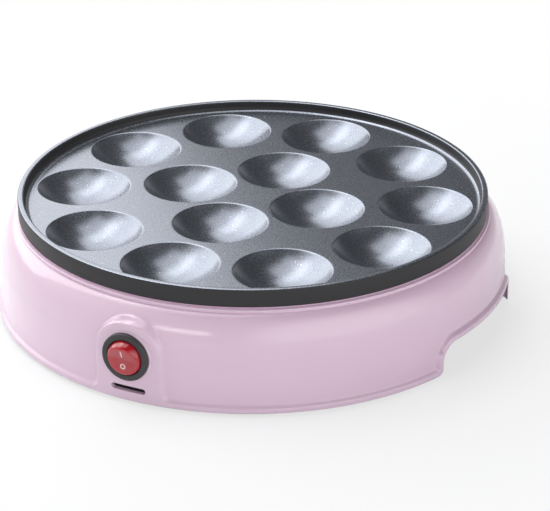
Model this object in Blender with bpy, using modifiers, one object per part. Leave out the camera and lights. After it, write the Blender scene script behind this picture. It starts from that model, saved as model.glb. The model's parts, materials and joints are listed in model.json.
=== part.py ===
"""Mini pancake maker: a round lacquered housing that carries a cast baking plate with fourteen
shallow moulds, its heating parts, an illuminated rocker switch and a screwed-on bottom cover.

Metres, +Z up. The origin is on the table, under the middle of the plate. The switch faces -Y.
"""
from math import acos, cos, pi, radians, sin, sqrt, tan

import bmesh
import bpy
from mathutils import Matrix, Vector

# Clearances shared by all the pieces
SEAT_GAP = 0.0003          # between two pieces that rest on each other
SCREW_PLAY = 0.0004        # around a screw's shank in its hole
OVERRUN = 0.004            # how far a cutter runs past the face it opens
BITE = 0.0006              # how deep joined shapes reach into each other

# Baking plate
PLATE_RADIUS = 0.113
RIM_HEIGHT = 0.0089        # outer side of the rim, from its seat to its top
RIM_WIDTH = 0.0030         # across the top of the rim
RIM_ROUND = 0.0009
WELL_DEPTH = 0.0053        # from the top of the rim to the baking surface
WELL_FILLET = 0.0026
PLATE_THICKNESS = 0.0032
SKIRT_THICKNESS = 0.0042   # of the rim's lower part, which sits on the housing
MOULD_DEPTH = 0.010
MOULD_CHAMFER = 0.0006
OUTER_MOULDS = 10
INNER_MOULDS = 4
OUTER_MOULD_GAP = 0.0065   # land between neighbours of the outer ten
INNER_MOULD_GAP = 0.0034   # land between neighbours of the inner four
MOULD_RIM_GAP = 0.0016     # land between the outer moulds and the foot of the rim
BOSS_RADIUS = 0.0050
CLAMP_BOSS_RADIUS = 0.0034
THERMOSTAT_PAD_RADIUS = 0.0088
THERMOSTAT_PAD_HEIGHT = 0.0012

# Housing
WALL = 0.0022
HOUSING_OUTSET = 0.0092    # from the edge of the plate to where the wall meets the shoulder
WALL_DRAFT = 0.0012        # how much wider the wall is at its foot
WALL_HEIGHT = 0.025        # from the lower edge to the shoulder
SHOULDER_TUCK = 0.0026     # how far the shoulder's arch starts inside the lip
SHOULDER_RISE = 0.020
LIP_PROUD = 0.0012         # how far the lip shows outside the plate
LIP_WIDTH = 0.0052
LIP_HEIGHT = 0.0019
STAND = 0.0015             # gap between the table and the housing's lower edge
BEAD_HEIGHT = 0.0030       # raised band along the lower edge
BEAD_PROUD = 0.0013
BEAD_ROUND = 0.0006
PAD_HALF_WIDTH = 0.0167    # raised arch that carries the switch
PAD_PROUD = 0.0001         # beyond the bead
PAD_FOOT_ROUND = 0.003     # where the bead turns up into the arch
LAND_PROUD = 0.0002        # flat ring on the arch that the switch's bezel sits on
LAND_MARGIN = 0.0004
SWITCH_HEIGHT = 0.0242     # centre of the switch above the table
SLOT_LENGTH = 0.0174
SLOT_WIDTH = 0.0028
SLOT_HEIGHT = 0.0075       # centre of the slot above the table
GRIP_HALF_ANGLE = radians(19.2)  # of the hand openings in the left and right side
GRIP_HEIGHT = 0.0145
GRIP_CORNER = 0.0085
GRIP_FOOT_ROUND = 0.003    # at the lower end of each side of the opening
LEDGE_WIDTH = 0.0032
LEDGE_HEIGHT = 0.0018

# Bottom cover
COVER_CLEARANCE = 0.0008
COVER_THICKNESS = 0.0020
COVER_STAND = 0.0030       # underside of the cover above the table
COVER_WALL_HEIGHT = 0.0065
POCKET_MARGIN = 0.0025     # of the hand pocket around the hand opening
POCKET_DEPTH = 0.040       # from the housing's wall towards the middle
POCKET_CORNER = 0.005
SEAT_RADIUS = 0.0062       # screw seats
SEAT_HEIGHT = 0.0055
VENTS = 12
VENT_LENGTH = 0.022
VENT_WIDTH = 0.0030
VENT_INNER_RADIUS = 0.018

# Rubber feet
FOOT_RADIUS = 0.0080
FOOT_NECK_RADIUS = 0.0029
FOOT_BEAD_RADIUS = 0.0037
FOOT_EDGE_DISTANCE = 0.013
FOOT_ANGLE = radians(49)   # from the X axis

# Tie screws, their spacers and the heat shield
TIE_EDGE_DISTANCE = 0.015  # from the edge of the plate
TIE_SCREW_RADIUS = 0.0020
TIE_HEAD_RADIUS = 0.0041
TIE_HEAD_HEIGHT = 0.0026
TIE_THREAD_LENGTH = 0.009
SPACER_WALL = 0.0012
SHIELD_THICKNESS = 0.0006
SHIELD_DROP = 0.0020       # below the undersides of the moulds
SHIELD_EDGE_DISTANCE = 0.007
SHIELD_RIM_HEIGHT = 0.0055
SHIELD_RIM_FLARE = 0.002

# Heating element and its clamps
ELEMENT_RADIUS = 0.0032
ELEMENT_GAP_ANGLE = radians(12)
ELEMENT_BEND_RADIUS = 0.0065
ELEMENT_TAIL = 0.0135
ELEMENT_POINTS = 32
TERMINAL_RADIUS = 0.0011
TERMINAL_LENGTH = 0.007
CLAMP_WIDTH = 0.008
CLAMP_THICKNESS = 0.0008
CLAMP_CLEARANCE = 0.0004
SMALL_SCREW_RADIUS = 0.0014
SMALL_HEAD_RADIUS = 0.0027
SMALL_HEAD_HEIGHT = 0.0018
SMALL_SCREW_LENGTH = 0.0045

# Thermostat and thermal fuse
THERMOSTAT_RADIUS = 0.0080
THERMOSTAT_CAP_HEIGHT = 0.0035
THERMOSTAT_BODY_RADIUS = 0.0070
THERMOSTAT_BODY_HEIGHT = 0.0085
THERMOSTAT_TAB_SPREAD = 0.0100
TAB_WIDTH = 0.0048
TAB_THICKNESS = 0.0008
TAB_LENGTH = 0.0065
BRACKET_THICKNESS = 0.0008
BRACKET_WIDTH = 0.006
FUSE_RADIUS = 0.0024
FUSE_LENGTH = 0.026
FUSE_CLIP_WIDTH = 0.006
FUSE_CLIP_THICKNESS = 0.0008

# Rocker switch
BEZEL_RADIUS = 0.0115
BEZEL_THICKNESS = 0.0020
BEZEL_ROUND = 0.0009
BARREL_RADIUS = 0.0099
BARREL_WALL = 0.0010
BARREL_LENGTH = 0.0235
BARREL_FLOOR = 0.004
HOLE_PLAY = 0.0003
ROCKER_OPENING_RADIUS = 0.0085
ROCKER_RADIUS = 0.0086     # ball that the rocker is turned from
ROCKER_AXIS_DEPTH = 0.0025 # behind the front of the bezel
ROCKER_BACK = 0.0035
ROCKER_TILT = radians(11)  # of each half of the rocker's face
ROCKER_FACE = 0.0036       # middle of the face, in front of the rocker's axis
ROCKER_PIN_RADIUS = 0.0011
LAMP_RADIUS = 0.0024
LAMP_LENGTH = 0.0085
SNAP_LENGTH = 0.009
SNAP_PROUD = 0.0011
SNAP_WIDTH = 0.005
SWITCH_TAB_PITCH = 0.0062

# Cord gland, cord clamp and terminal block
GLAND_HEIGHT = 0.020
GLAND_BORE = 0.0037
GLAND_NECK_RADIUS = 0.0056
GLAND_COLLAR_RADIUS = 0.0082
GLAND_COLLAR = 0.0026
GLAND_NOSE = 0.0045
GLAND_NOSE_RADIUS = 0.0060
CLAMP_POST_RADIUS = 0.0038
CLAMP_POST_SPREAD = 0.0100
CLAMP_POST_HEIGHT = 0.0105
CLAMP_POST_INSET = 0.024   # from the housing's wall
CORD_CLAMP_WIDTH = 0.007
CORD_CLAMP_THICKNESS = 0.0020
BLOCK_LENGTH = 0.034
BLOCK_WIDTH = 0.016
BLOCK_HEIGHT = 0.013
BLOCK_INSET = 0.052        # from the housing's wall
BLOCK_WAYS = 3
BLOCK_HOLE_RADIUS = 0.0021
BLOCK_EDGE_ROUND = 0.001

# Wires inside
WIRE_RADIUS = 0.0011
WIRE_STEP = 0.011          # between the points along a wire

# Fineness of the round shapes
BODY_STEPS = 48
MOULD_STEPS = 16
MOULD_RINGS = 3
BULGE_STEPS = 12
BULGE_RINGS = 2
SMALL_STEPS = 8
SHOULDER_STEPS = 5
INNER_SHOULDER_STEPS = 3
STRAP_STEPS = 6
ARC_STEPS = 3
EDGE_STEPS = 2
WELD_LENGTH = 0.000001     # points nearer than this become one
SCREW_HEAD_SHARE = 0.7     # width of the flat top of a screw's head

# Heights and radii that follow from the sizes above
HOUSING_RADIUS = PLATE_RADIUS + HOUSING_OUTSET
SHOULDER_REACH = HOUSING_OUTSET - LIP_PROUD + SHOULDER_TUCK
HOUSING_TOP = STAND + WALL_HEIGHT + SHOULDER_RISE * sin(acos(SHOULDER_TUCK / SHOULDER_REACH)) + LIP_HEIGHT
PLATE_SEAT = HOUSING_TOP + SEAT_GAP
RIM_TOP = PLATE_SEAT + RIM_HEIGHT
BAKING_SURFACE = RIM_TOP - WELL_DEPTH
PLATE_UNDERSIDE = BAKING_SURFACE - PLATE_THICKNESS
BULGE_BOTTOM = BAKING_SURFACE - MOULD_DEPTH - PLATE_THICKNESS
SHIELD_TOP = BULGE_BOTTOM - SHIELD_DROP
SHIELD_BOTTOM = SHIELD_TOP - SHIELD_THICKNESS
WELL_RADIUS = PLATE_RADIUS - RIM_WIDTH
OUTER_EDGE = WELL_RADIUS - WELL_FILLET - MOULD_RIM_GAP
OUTER_SHARE = sin(pi / OUTER_MOULDS)
MOULD_RADIUS = (OUTER_EDGE * OUTER_SHARE - OUTER_MOULD_GAP / 2) / (1 + OUTER_SHARE)
OUTER_RING = OUTER_EDGE - MOULD_RADIUS
INNER_RING = (2 * MOULD_RADIUS + INNER_MOULD_GAP) / (2 * sin(pi / INNER_MOULDS))
ELEMENT_RING = (OUTER_RING + INNER_RING) / 2
MOULD_SPHERE = (MOULD_RADIUS ** 2 + MOULD_DEPTH ** 2) / (2 * MOULD_DEPTH)
BULGE_SPHERE = MOULD_SPHERE + PLATE_THICKNESS
NEST_REACH = BULGE_SPHERE + ELEMENT_RADIUS + 2 * SEAT_GAP
NEST_HALF = (OUTER_RING - INNER_RING) / 2
ELEMENT_HEIGHT = BAKING_SURFACE + MOULD_SPHERE - MOULD_DEPTH - sqrt(NEST_REACH ** 2 - NEST_HALF ** 2)
WALL_FOOT_RADIUS = HOUSING_RADIUS + WALL_DRAFT
BEAD_RADIUS = WALL_FOOT_RADIUS + BEAD_PROUD
BEAD_TOP = STAND + BEAD_HEIGHT
PAD_RADIUS = BEAD_RADIUS + PAD_PROUD
PAD_FACE = PAD_RADIUS + LAND_PROUD
GRIP_HALF_WIDTH = WALL_FOOT_RADIUS * sin(GRIP_HALF_ANGLE)
COVER_RADIUS = HOUSING_RADIUS - WALL - COVER_CLEARANCE
COVER_FLOOR = COVER_STAND + COVER_THICKNESS
COVER_TOP = COVER_STAND + COVER_WALL_HEIGHT
POCKET_HALF_WIDTH = GRIP_HALF_WIDTH + POCKET_MARGIN
POCKET_ROOF = STAND + GRIP_HEIGHT + POCKET_MARGIN
POCKET_START = HOUSING_RADIUS - POCKET_DEPTH
TIE_RING = PLATE_RADIUS - TIE_EDGE_DISTANCE
TIE_ANGLE = pi / 2 - 3 * pi / OUTER_MOULDS
TIE_SEAT = COVER_STAND + SEAT_HEIGHT
TIE_HEAD_SEAT = COVER_STAND + SEAT_GAP + TIE_HEAD_HEIGHT + SEAT_GAP
SPACER_RADIUS = TIE_SCREW_RADIUS + SCREW_PLAY + SPACER_WALL
CLAMP_RING = ELEMENT_RING - ELEMENT_RADIUS - CLAMP_CLEARANCE - 2 * CLAMP_THICKNESS - CLAMP_BOSS_RADIUS
FOOT_RING = COVER_RADIUS - FOOT_EDGE_DISTANCE
QUARTERS = ((1, 1), (-1, 1), (-1, -1), (1, -1))


def clear_scene():
    for obj in list(bpy.data.objects):
        bpy.data.objects.remove(obj)


def make_collection(name):
    collection = bpy.data.collections.new(name)
    bpy.context.scene.collection.children.link(collection)
    return collection


clear_scene()
PARTS = make_collection("mini_pancake_maker")
CUTTERS = make_collection("cutters")
CUTTERS.hide_render = True


def make_material(name, colour, roughness, metallic=0.0):
    material = bpy.data.materials.new(name)
    material.use_nodes = True
    shader = material.node_tree.nodes["Principled BSDF"]
    shader.inputs["Base Color"].default_value = (*colour, 1.0)
    shader.inputs["Roughness"].default_value = roughness
    shader.inputs["Metallic"].default_value = metallic
    material.diffuse_color = (*colour, 1.0)
    return material


PINK = make_material("pink_gloss_plastic", (0.74, 0.56, 0.65), 0.22)
COATING = make_material("non_stick_coating", (0.045, 0.048, 0.058), 0.38)
BLACK = make_material("black_plastic", (0.03, 0.03, 0.033), 0.5)
RUBBER = make_material("black_rubber", (0.02, 0.02, 0.02), 0.85)
STEEL = make_material("zinc_plated_steel", (0.6, 0.6, 0.6), 0.35, 1.0)
SHIELD = make_material("aluminised_steel", (0.75, 0.75, 0.74), 0.3, 1.0)
SHEATH = make_material("element_sheath", (0.25, 0.24, 0.22), 0.45, 1.0)
BRASS = make_material("brass", (0.7, 0.52, 0.22), 0.35, 1.0)
RED = make_material("red_translucent_plastic", (0.55, 0.01, 0.02), 0.15)
GLASS = make_material("lamp_glass", (0.8, 0.5, 0.35), 0.1)
CERAMIC = make_material("white_ceramic", (0.82, 0.8, 0.75), 0.4)
NATURAL = make_material("natural_nylon", (0.75, 0.74, 0.68), 0.45)
BROWN = make_material("brown_wire", (0.2, 0.08, 0.03), 0.4)
BLUE = make_material("blue_wire", (0.03, 0.12, 0.5), 0.4)
SLEEVE = make_material("glass_fibre_sleeve", (0.8, 0.78, 0.7), 0.7)


def add(name, mesh, material, collection=None):
    """One object for one piece. Cutters and other helpers have no material and aren't rendered."""
    obj = bpy.data.objects.new(name, mesh)
    (collection or (PARTS if material else CUTTERS)).objects.link(obj)
    if material:
        mesh.materials.clear()
        mesh.materials.append(material)
        for polygon in mesh.polygons:
            polygon.use_smooth = True
    else:
        obj.hide_render = True
        obj.display_type = "WIRE"
    return obj


def turned(name, profile, material=None, steps=SMALL_STEPS, place=Matrix.Identity(4)):
    """A profile of (radius, height) points turned round Z. It runs down its outer side."""
    mesh = bpy.data.meshes.new(name)
    on_axis = profile[0][0] == 0 and profile[-1][0] == 0
    count = len(profile)
    edges = [(i, i + 1) for i in range(count - 1)]
    if not on_axis:
        edges.append((count - 1, 0))
    mesh.from_pydata([(r, 0, z) for r, z in profile], edges, [])
    obj = add(name, mesh, material)
    screw = obj.modifiers.new("turn", "SCREW")
    screw.steps = screw.render_steps = steps
    screw.use_merge_vertices = True
    screw.merge_threshold = WELD_LENGTH
    screw.use_smooth_shade = False
    obj.matrix_world = place
    return obj


def rod(name, radius, low, high, material=None, steps=SMALL_STEPS, place=Matrix.Identity(4)):
    """A plain round bar along Z between two heights."""
    mesh = bpy.data.meshes.new(name)
    shape = bmesh.new()
    middle = Matrix.Translation((0, 0, (low + high) / 2))
    bmesh.ops.create_cone(shape, cap_ends=True, segments=steps, radius1=radius, radius2=radius,
                          depth=high - low, matrix=middle)
    shape.to_mesh(mesh)
    shape.free()
    obj = add(name, mesh, material)
    obj.matrix_world = place
    return obj


def box(name, low, high, material=None, place=Matrix.Identity(4)):
    """A block between two corners."""
    mesh = bpy.data.meshes.new(name)
    shape = bmesh.new()
    size = Vector(high) - Vector(low)
    middle = Matrix.Translation((Vector(high) + Vector(low)) / 2)
    bmesh.ops.create_cube(shape, size=1, matrix=middle @ Matrix.Diagonal((*size, 1)))
    shape.to_mesh(mesh)
    shape.free()
    obj = add(name, mesh, material)
    obj.matrix_world = place
    return obj


def prism(name, outline, low, high, material=None, place=Matrix.Identity(4)):
    """A flat outline in X and Y, thick from one height to another: a filled curve made a mesh."""
    curve = bpy.data.curves.new(name + "_outline", "CURVE")
    curve.dimensions = "2D"
    curve.fill_mode = "BOTH"
    curve.extrude = (high - low) / 2
    spline = curve.splines.new("POLY")
    spline.points.add(len(outline) - 1)
    for point, (x, y) in zip(spline.points, outline):
        point.co = (x, y, 0, 1)
    spline.use_cyclic_u = True
    guide = bpy.data.objects.new(name + "_outline", curve)
    CUTTERS.objects.link(guide)
    mesh = mesh_of(guide, name)
    mesh.transform(Matrix.Translation((0, 0, (low + high) / 2)))
    obj = add(name, mesh, material)
    obj.matrix_world = place
    return obj


def mesh_of(guide, name):
    """The mesh of a curve object, with its caps welded. The curve is removed."""
    bpy.context.view_layer.update()
    evaluated = guide.evaluated_get(bpy.context.evaluated_depsgraph_get())
    mesh = bpy.data.meshes.new_from_object(evaluated)
    mesh.name = name
    shape = bmesh.new()
    shape.from_mesh(mesh)
    bmesh.ops.remove_doubles(shape, verts=shape.verts, dist=WELD_LENGTH)
    bmesh.ops.recalc_face_normals(shape, faces=shape.faces)
    shape.to_mesh(mesh)
    shape.free()
    curve = guide.data
    bpy.data.objects.remove(guide)
    bpy.data.curves.remove(curve)
    return mesh


def tube(name, points, radius, material, fineness=1):
    """A round bar or wire that follows points, as a curve with filled caps."""
    curve = bpy.data.curves.new(name, "CURVE")
    curve.dimensions = "3D"
    curve.bevel_depth = radius
    curve.bevel_resolution = fineness
    curve.use_fill_caps = True
    spline = curve.splines.new("POLY")
    spline.points.add(len(points) - 1)
    for point, place in zip(spline.points, points):
        point.co = (*place, 1)
    guide = bpy.data.objects.new(name + "_line", curve)
    CUTTERS.objects.link(guide)
    return add(name, mesh_of(guide, name), material)


def combine(obj, operation, *others):
    """Boolean modifiers that join, cut or keep what is common, one for each other object."""
    for other in others:
        modifier = obj.modifiers.new(f"{operation.lower()}_{other.name}", "BOOLEAN")
        modifier.operation = operation
        modifier.solver = "EXACT"
        modifier.object = other
    return obj


def cut(obj, *others):
    return combine(obj, "DIFFERENCE", *others)


def join(obj, *others):
    return combine(obj, "UNION", *others)


def keep(obj, *others):
    return combine(obj, "INTERSECT", *others)


def at(x, y, z=0.0):
    return Matrix.Translation((x, y, z))


def polar(radius, angle):
    return radius * cos(angle), radius * sin(angle)


def arc(centre, radius, start, end, steps=ARC_STEPS, squash=1.0):
    """Points along an arc, angles in radians. squash scales its height."""
    cx, cy = centre
    return [
        (cx + radius * cos(start + (end - start) * i / steps),
         cy + squash * radius * sin(start + (end - start) * i / steps))
        for i in range(steps + 1)
    ]


def stadium(length, width):
    """Outline of a slot with round ends, along X."""
    radius, reach = width / 2, (length - width) / 2
    return arc((reach, 0), radius, -pi / 2, pi / 2) + arc((-reach, 0), radius, pi / 2, 3 * pi / 2)


def round_corners(low, high, radius):
    """Outline of a rectangle with round corners."""
    (x0, y0), (x1, y1) = low, high
    return (arc((x1 - radius, y0 + radius), radius, -pi / 2, 0)
            + arc((x1 - radius, y1 - radius), radius, 0, pi / 2)
            + arc((x0 + radius, y1 - radius), radius, pi / 2, pi)
            + arc((x0 + radius, y0 + radius), radius, pi, 3 * pi / 2))


def facing(direction):
    """Turns local X and Y into an upright plane: local X is sideways, Y is up, Z is direction."""
    sideways = Vector((0, 0, 1)).cross(Vector(direction)).normalized()
    rows = (sideways, Vector((0, 0, 1)), Vector(direction).normalized())
    return Matrix([[row[i] for row in rows] for i in range(3)]).to_4x4()


FRONT = facing((0, -1, 0))
SIDE = facing((1, 0, 0))
REAR = facing((0, 1, 0))


def smooth_path(knots, spacing):
    """Evenly stepped points along a smooth curve through the knots."""
    points = [Vector(knot) for knot in knots]
    ends = [2 * points[0] - points[1], *points, 2 * points[-1] - points[-2]]
    path = []
    for before, start, end, after in zip(ends, ends[1:], ends[2:], ends[3:]):
        steps = max(2, round((end - start).length / spacing))
        for i in range(steps):
            t = i / steps
            path.append(0.5 * (2 * start + (end - before) * t
                               + (2 * before - 5 * start + 4 * end - after) * t * t
                               + (3 * start - before - 3 * end + after) * t ** 3))
    return path + [points[-1]]


def screw(name, head_radius, head_height, shank_radius, length, place, material=STEEL):
    """A pan-head screw. Its head's underside is at the origin and its shank points up +Z."""
    return turned(name, [
        (0, length),
        (shank_radius, length - shank_radius / 2),
        (shank_radius, 0),
        (head_radius, 0),
        (head_radius, -head_height / 2),
        (head_radius * SCREW_HEAD_SHARE, -head_height),
        (0, -head_height),
    ], material, SMALL_STEPS, place)


def mould_places():
    """Centres of the ten outer and four inner moulds, both rings starting at the front."""
    outer = [polar(OUTER_RING, -pi / 2 + 2 * pi * i / OUTER_MOULDS) for i in range(OUTER_MOULDS)]
    inner = [polar(INNER_RING, -pi / 2 + 2 * pi * i / INNER_MOULDS) for i in range(INNER_MOULDS)]
    return outer + inner


def dish(sphere, depth, start, rings):
    """Points down a ball-shaped dish, from a height of -start to its lowest point at -depth."""
    centre = sphere - depth
    half = acos((centre + start) / sphere)
    angles = [half * (1 - i / rings) for i in range(rings)]
    return [(sphere * sin(a), centre - sphere * cos(a)) for a in angles] + [(0, -depth)]


def baking_plate():
    """Cast plate: rim, well, fourteen dished moulds, bosses below. Its rim sits on the housing."""
    well, top = WELL_RADIUS, RIM_TOP
    skirt = PLATE_RADIUS - SKIRT_THICKNESS
    profile = [(0, BAKING_SURFACE)]
    profile += arc((well - WELL_FILLET, BAKING_SURFACE + WELL_FILLET), WELL_FILLET, -pi / 2, 0, EDGE_STEPS)
    profile += arc((well + RIM_ROUND, top - RIM_ROUND), RIM_ROUND, pi, pi / 2, EDGE_STEPS)
    profile += arc((PLATE_RADIUS - RIM_ROUND, top - RIM_ROUND), RIM_ROUND, pi / 2, 0, EDGE_STEPS)
    profile += [
        (PLATE_RADIUS, PLATE_SEAT + RIM_ROUND),
        (PLATE_RADIUS - RIM_ROUND, PLATE_SEAT),
        (skirt, PLATE_SEAT),
        (skirt, PLATE_SEAT + (PLATE_UNDERSIDE - PLATE_SEAT) / 2),
        (skirt - WELL_FILLET, PLATE_UNDERSIDE),
        (0, PLATE_UNDERSIDE),
    ]
    plate = turned("baking_plate", profile, COATING, BODY_STEPS)

    hollow = [(0, OVERRUN), (MOULD_RADIUS + MOULD_CHAMFER, OVERRUN),
              (MOULD_RADIUS + MOULD_CHAMFER, MOULD_CHAMFER)]
    hollow += dish(MOULD_SPHERE, MOULD_DEPTH, MOULD_CHAMFER, MOULD_RINGS)
    bulge = dish(BULGE_SPHERE, MOULD_DEPTH + PLATE_THICKNESS, PLATE_THICKNESS / 2, BULGE_RINGS)
    bulge = [(0, bulge[0][1])] + bulge
    for i, (x, y) in enumerate(mould_places()):
        place = at(x, y, BAKING_SURFACE)
        join(plate, turned(f"mould_bulge_{i}", bulge, None, BULGE_STEPS, place))
    for x, y in tie_places():
        join(plate, rod("tie_boss", BOSS_RADIUS, SHIELD_TOP + SEAT_GAP, PLATE_UNDERSIDE + BITE,
                        place=at(x, y)))
    for x, y in clamp_places():
        join(plate, rod("clamp_boss", CLAMP_BOSS_RADIUS, clamp_seat() + SEAT_GAP,
                        PLATE_UNDERSIDE + BITE, place=at(x, y)))
    join(plate, rod("thermostat_pad", THERMOSTAT_PAD_RADIUS, PLATE_UNDERSIDE - THERMOSTAT_PAD_HEIGHT,
                    PLATE_UNDERSIDE + BITE, steps=BULGE_STEPS))
    for i, (x, y) in enumerate(mould_places()):
        place = at(x, y, BAKING_SURFACE)
        cut(plate, turned(f"mould_hollow_{i}", hollow, None, MOULD_STEPS, place))
    for x, y in tie_places():
        cut(plate, rod("tie_thread", TIE_SCREW_RADIUS + SCREW_PLAY, SHIELD_TOP - OVERRUN,
                       tie_tip() + SEAT_GAP, place=at(x, y)))
    for x, y in clamp_places():
        cut(plate, rod("clamp_thread", SMALL_SCREW_RADIUS + SCREW_PLAY, clamp_seat() - OVERRUN,
                       clamp_seat() + SMALL_SCREW_LENGTH, place=at(x, y)))


def tie_places():
    """The four tie screws stand between outer moulds, clear of the hand pockets."""
    x, y = polar(TIE_RING, TIE_ANGLE)
    return [(sx * x, sy * y) for sx, sy in QUARTERS]


def tie_tip():
    return SHIELD_TOP + TIE_THREAD_LENGTH


def clamp_places():
    """The element's clamps are screwed on between the inner moulds."""
    return [polar(CLAMP_RING, pi / 4 + i * pi / 2) for i in range(4)]


def clamp_seat():
    """Height of the clamp's top where it lies under its boss."""
    return ELEMENT_HEIGHT - CLAMP_THICKNESS / 2


def both_sides(half_outline):
    """An outline from its right half, which runs up to the middle."""
    return half_outline + [(-x, z) for x, z in reversed(half_outline)]


def foot_round(half, floor, radius):
    """Where an upright edge at half flares out into a level one at floor. It starts below that."""
    below, *rest = arc((half + radius, floor + radius), radius, -pi / 2, -pi)
    inward = Vector(below) - Vector(rest[0])
    return [tuple(Vector(below) + inward), *rest]


def grip_outline():
    """Hand opening, in Y and Z: rounded at the top, and flared where it meets the lower edge."""
    half, top, corner = GRIP_HALF_WIDTH, STAND + GRIP_HEIGHT, GRIP_CORNER
    foot = foot_round(half, STAND, GRIP_FOOT_ROUND)
    return both_sides([(foot[0][0], STAND - OVERRUN), *foot,
                       *arc((half - corner, top - corner), corner, 0, pi / 2)])


def bead_arch_outline():
    """The bead's way over the hand openings, in Y and Z. The opening is cut out of it."""
    half, corner = GRIP_HALF_WIDTH + BEAD_HEIGHT, GRIP_CORNER + BEAD_HEIGHT
    top = STAND + GRIP_HEIGHT + BEAD_HEIGHT
    return both_sides([(half, STAND + BITE), *arc((half - corner, top - corner), corner, 0, pi / 2)])


def pad_outline():
    """Arch that carries the switch, in X and Z. Its feet flare into the bead."""
    foot = foot_round(PAD_HALF_WIDTH, BEAD_TOP, PAD_FOOT_ROUND)
    return both_sides([(foot[0][0], STAND + BITE), *foot,
                       *arc((0, SWITCH_HEIGHT), PAD_HALF_WIDTH, 0, pi / 2)])


def pad_hollow_outline():
    """The inside of the arch."""
    half = PAD_HALF_WIDTH - WALL
    return both_sides([(half, STAND - OVERRUN), *arc((0, SWITCH_HEIGHT), half, 0, pi / 2)])


def housing():
    """Moulded shell: wall, bead, rounded shoulder, lip for the plate, switch pad, hand openings."""
    lip = PLATE_RADIUS + LIP_PROUD
    centre = HOUSING_RADIUS - SHOULDER_REACH
    shoulder = STAND + WALL_HEIGHT
    low = STAND - 2 * OVERRUN
    far = 2 * BEAD_RADIUS
    end = acos((lip - centre) / SHOULDER_REACH)
    squash = SHOULDER_RISE / SHOULDER_REACH
    inner_squash = (SHOULDER_RISE - WALL) / (SHOULDER_REACH - WALL)
    inner_lip = lip - LIP_WIDTH
    profile = [(inner_lip, HOUSING_TOP), (lip - BEAD_ROUND, HOUSING_TOP), (lip, HOUSING_TOP - BEAD_ROUND)]
    profile += arc((centre, shoulder), SHOULDER_REACH, end, 0, SHOULDER_STEPS, squash)
    profile += [
        (WALL_FOOT_RADIUS, BEAD_TOP), (BEAD_RADIUS - BEAD_ROUND, BEAD_TOP),
        (BEAD_RADIUS, BEAD_TOP - BEAD_ROUND), (BEAD_RADIUS, STAND), (WALL_FOOT_RADIUS - WALL, STAND),
    ]
    profile += arc((centre, shoulder), SHOULDER_REACH - WALL, 0, pi / 2, INNER_SHOULDER_STEPS, inner_squash)
    profile += [(inner_lip, shoulder + SHOULDER_RISE - WALL)]
    shell = turned("housing", profile, PINK, BODY_STEPS)

    inside = HOUSING_RADIUS - WALL / 2
    arch_top = STAND + GRIP_HEIGHT + BEAD_HEIGHT + OVERRUN
    bead = turned("bead_arch", [(inside, arch_top), (PAD_RADIUS, arch_top), (PAD_RADIUS, low),
                                (inside, low)], None, BODY_STEPS)
    keep(bead, prism("bead_arch_shape", bead_arch_outline(), -far, far, place=SIDE))
    ledge_low = COVER_TOP + SEAT_GAP
    ledge = turned("ledge", [
        (COVER_RADIUS - LEDGE_WIDTH, ledge_low + LEDGE_HEIGHT), (inside, ledge_low + LEDGE_HEIGHT),
        (inside, ledge_low), (COVER_RADIUS - LEDGE_WIDTH, ledge_low),
    ], None, BODY_STEPS)
    room = POCKET_HALF_WIDTH + COVER_THICKNESS + COVER_CLEARANCE
    cut(ledge, box("ledge_gap", (-far, -room, STAND), (far, room, shoulder)))
    pad_top = SWITCH_HEIGHT + PAD_HALF_WIDTH + OVERRUN
    pad = turned("switch_pad", [(lip, pad_top), (PAD_RADIUS, pad_top), (PAD_RADIUS, low), (lip, low)],
                 None, BODY_STEPS)
    keep(pad, prism("pad_shape", pad_outline(), centre, far, place=FRONT))
    cut(pad, rod("cover_room", COVER_RADIUS + COVER_CLEARANCE, low, ledge_low + BITE, steps=BODY_STEPS))
    land = rod("bezel_land", BEZEL_RADIUS + LAND_MARGIN, PAD_RADIUS - WALL, PAD_FACE, steps=MOULD_STEPS,
               place=FRONT @ at(0, SWITCH_HEIGHT))
    join(shell, bead, pad, ledge, land)

    hollow = rod("pad_hollow", PAD_RADIUS - WALL, low, pad_top, steps=BODY_STEPS)
    keep(hollow, prism("pad_hollow_shape", pad_hollow_outline(), centre - SHOULDER_REACH, far, place=FRONT))
    cut(shell, hollow)
    cut(shell, prism("grip_opening", grip_outline(), -far, far, place=SIDE))
    cut(shell, rod("switch_hole", BARREL_RADIUS + HOLE_PLAY, centre, PAD_FACE + OVERRUN,
                   steps=MOULD_STEPS, place=FRONT @ at(0, SWITCH_HEIGHT)))
    cut(shell, prism("front_slot", stadium(SLOT_LENGTH, SLOT_WIDTH), centre, PAD_FACE + OVERRUN,
                     place=FRONT @ at(0, SLOT_HEIGHT)))
    cut(shell, rod("gland_hole", GLAND_NECK_RADIUS + HOLE_PLAY, centre, BEAD_RADIUS + OVERRUN,
                   steps=BULGE_STEPS, place=REAR @ at(0, GLAND_HEIGHT)))


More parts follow.
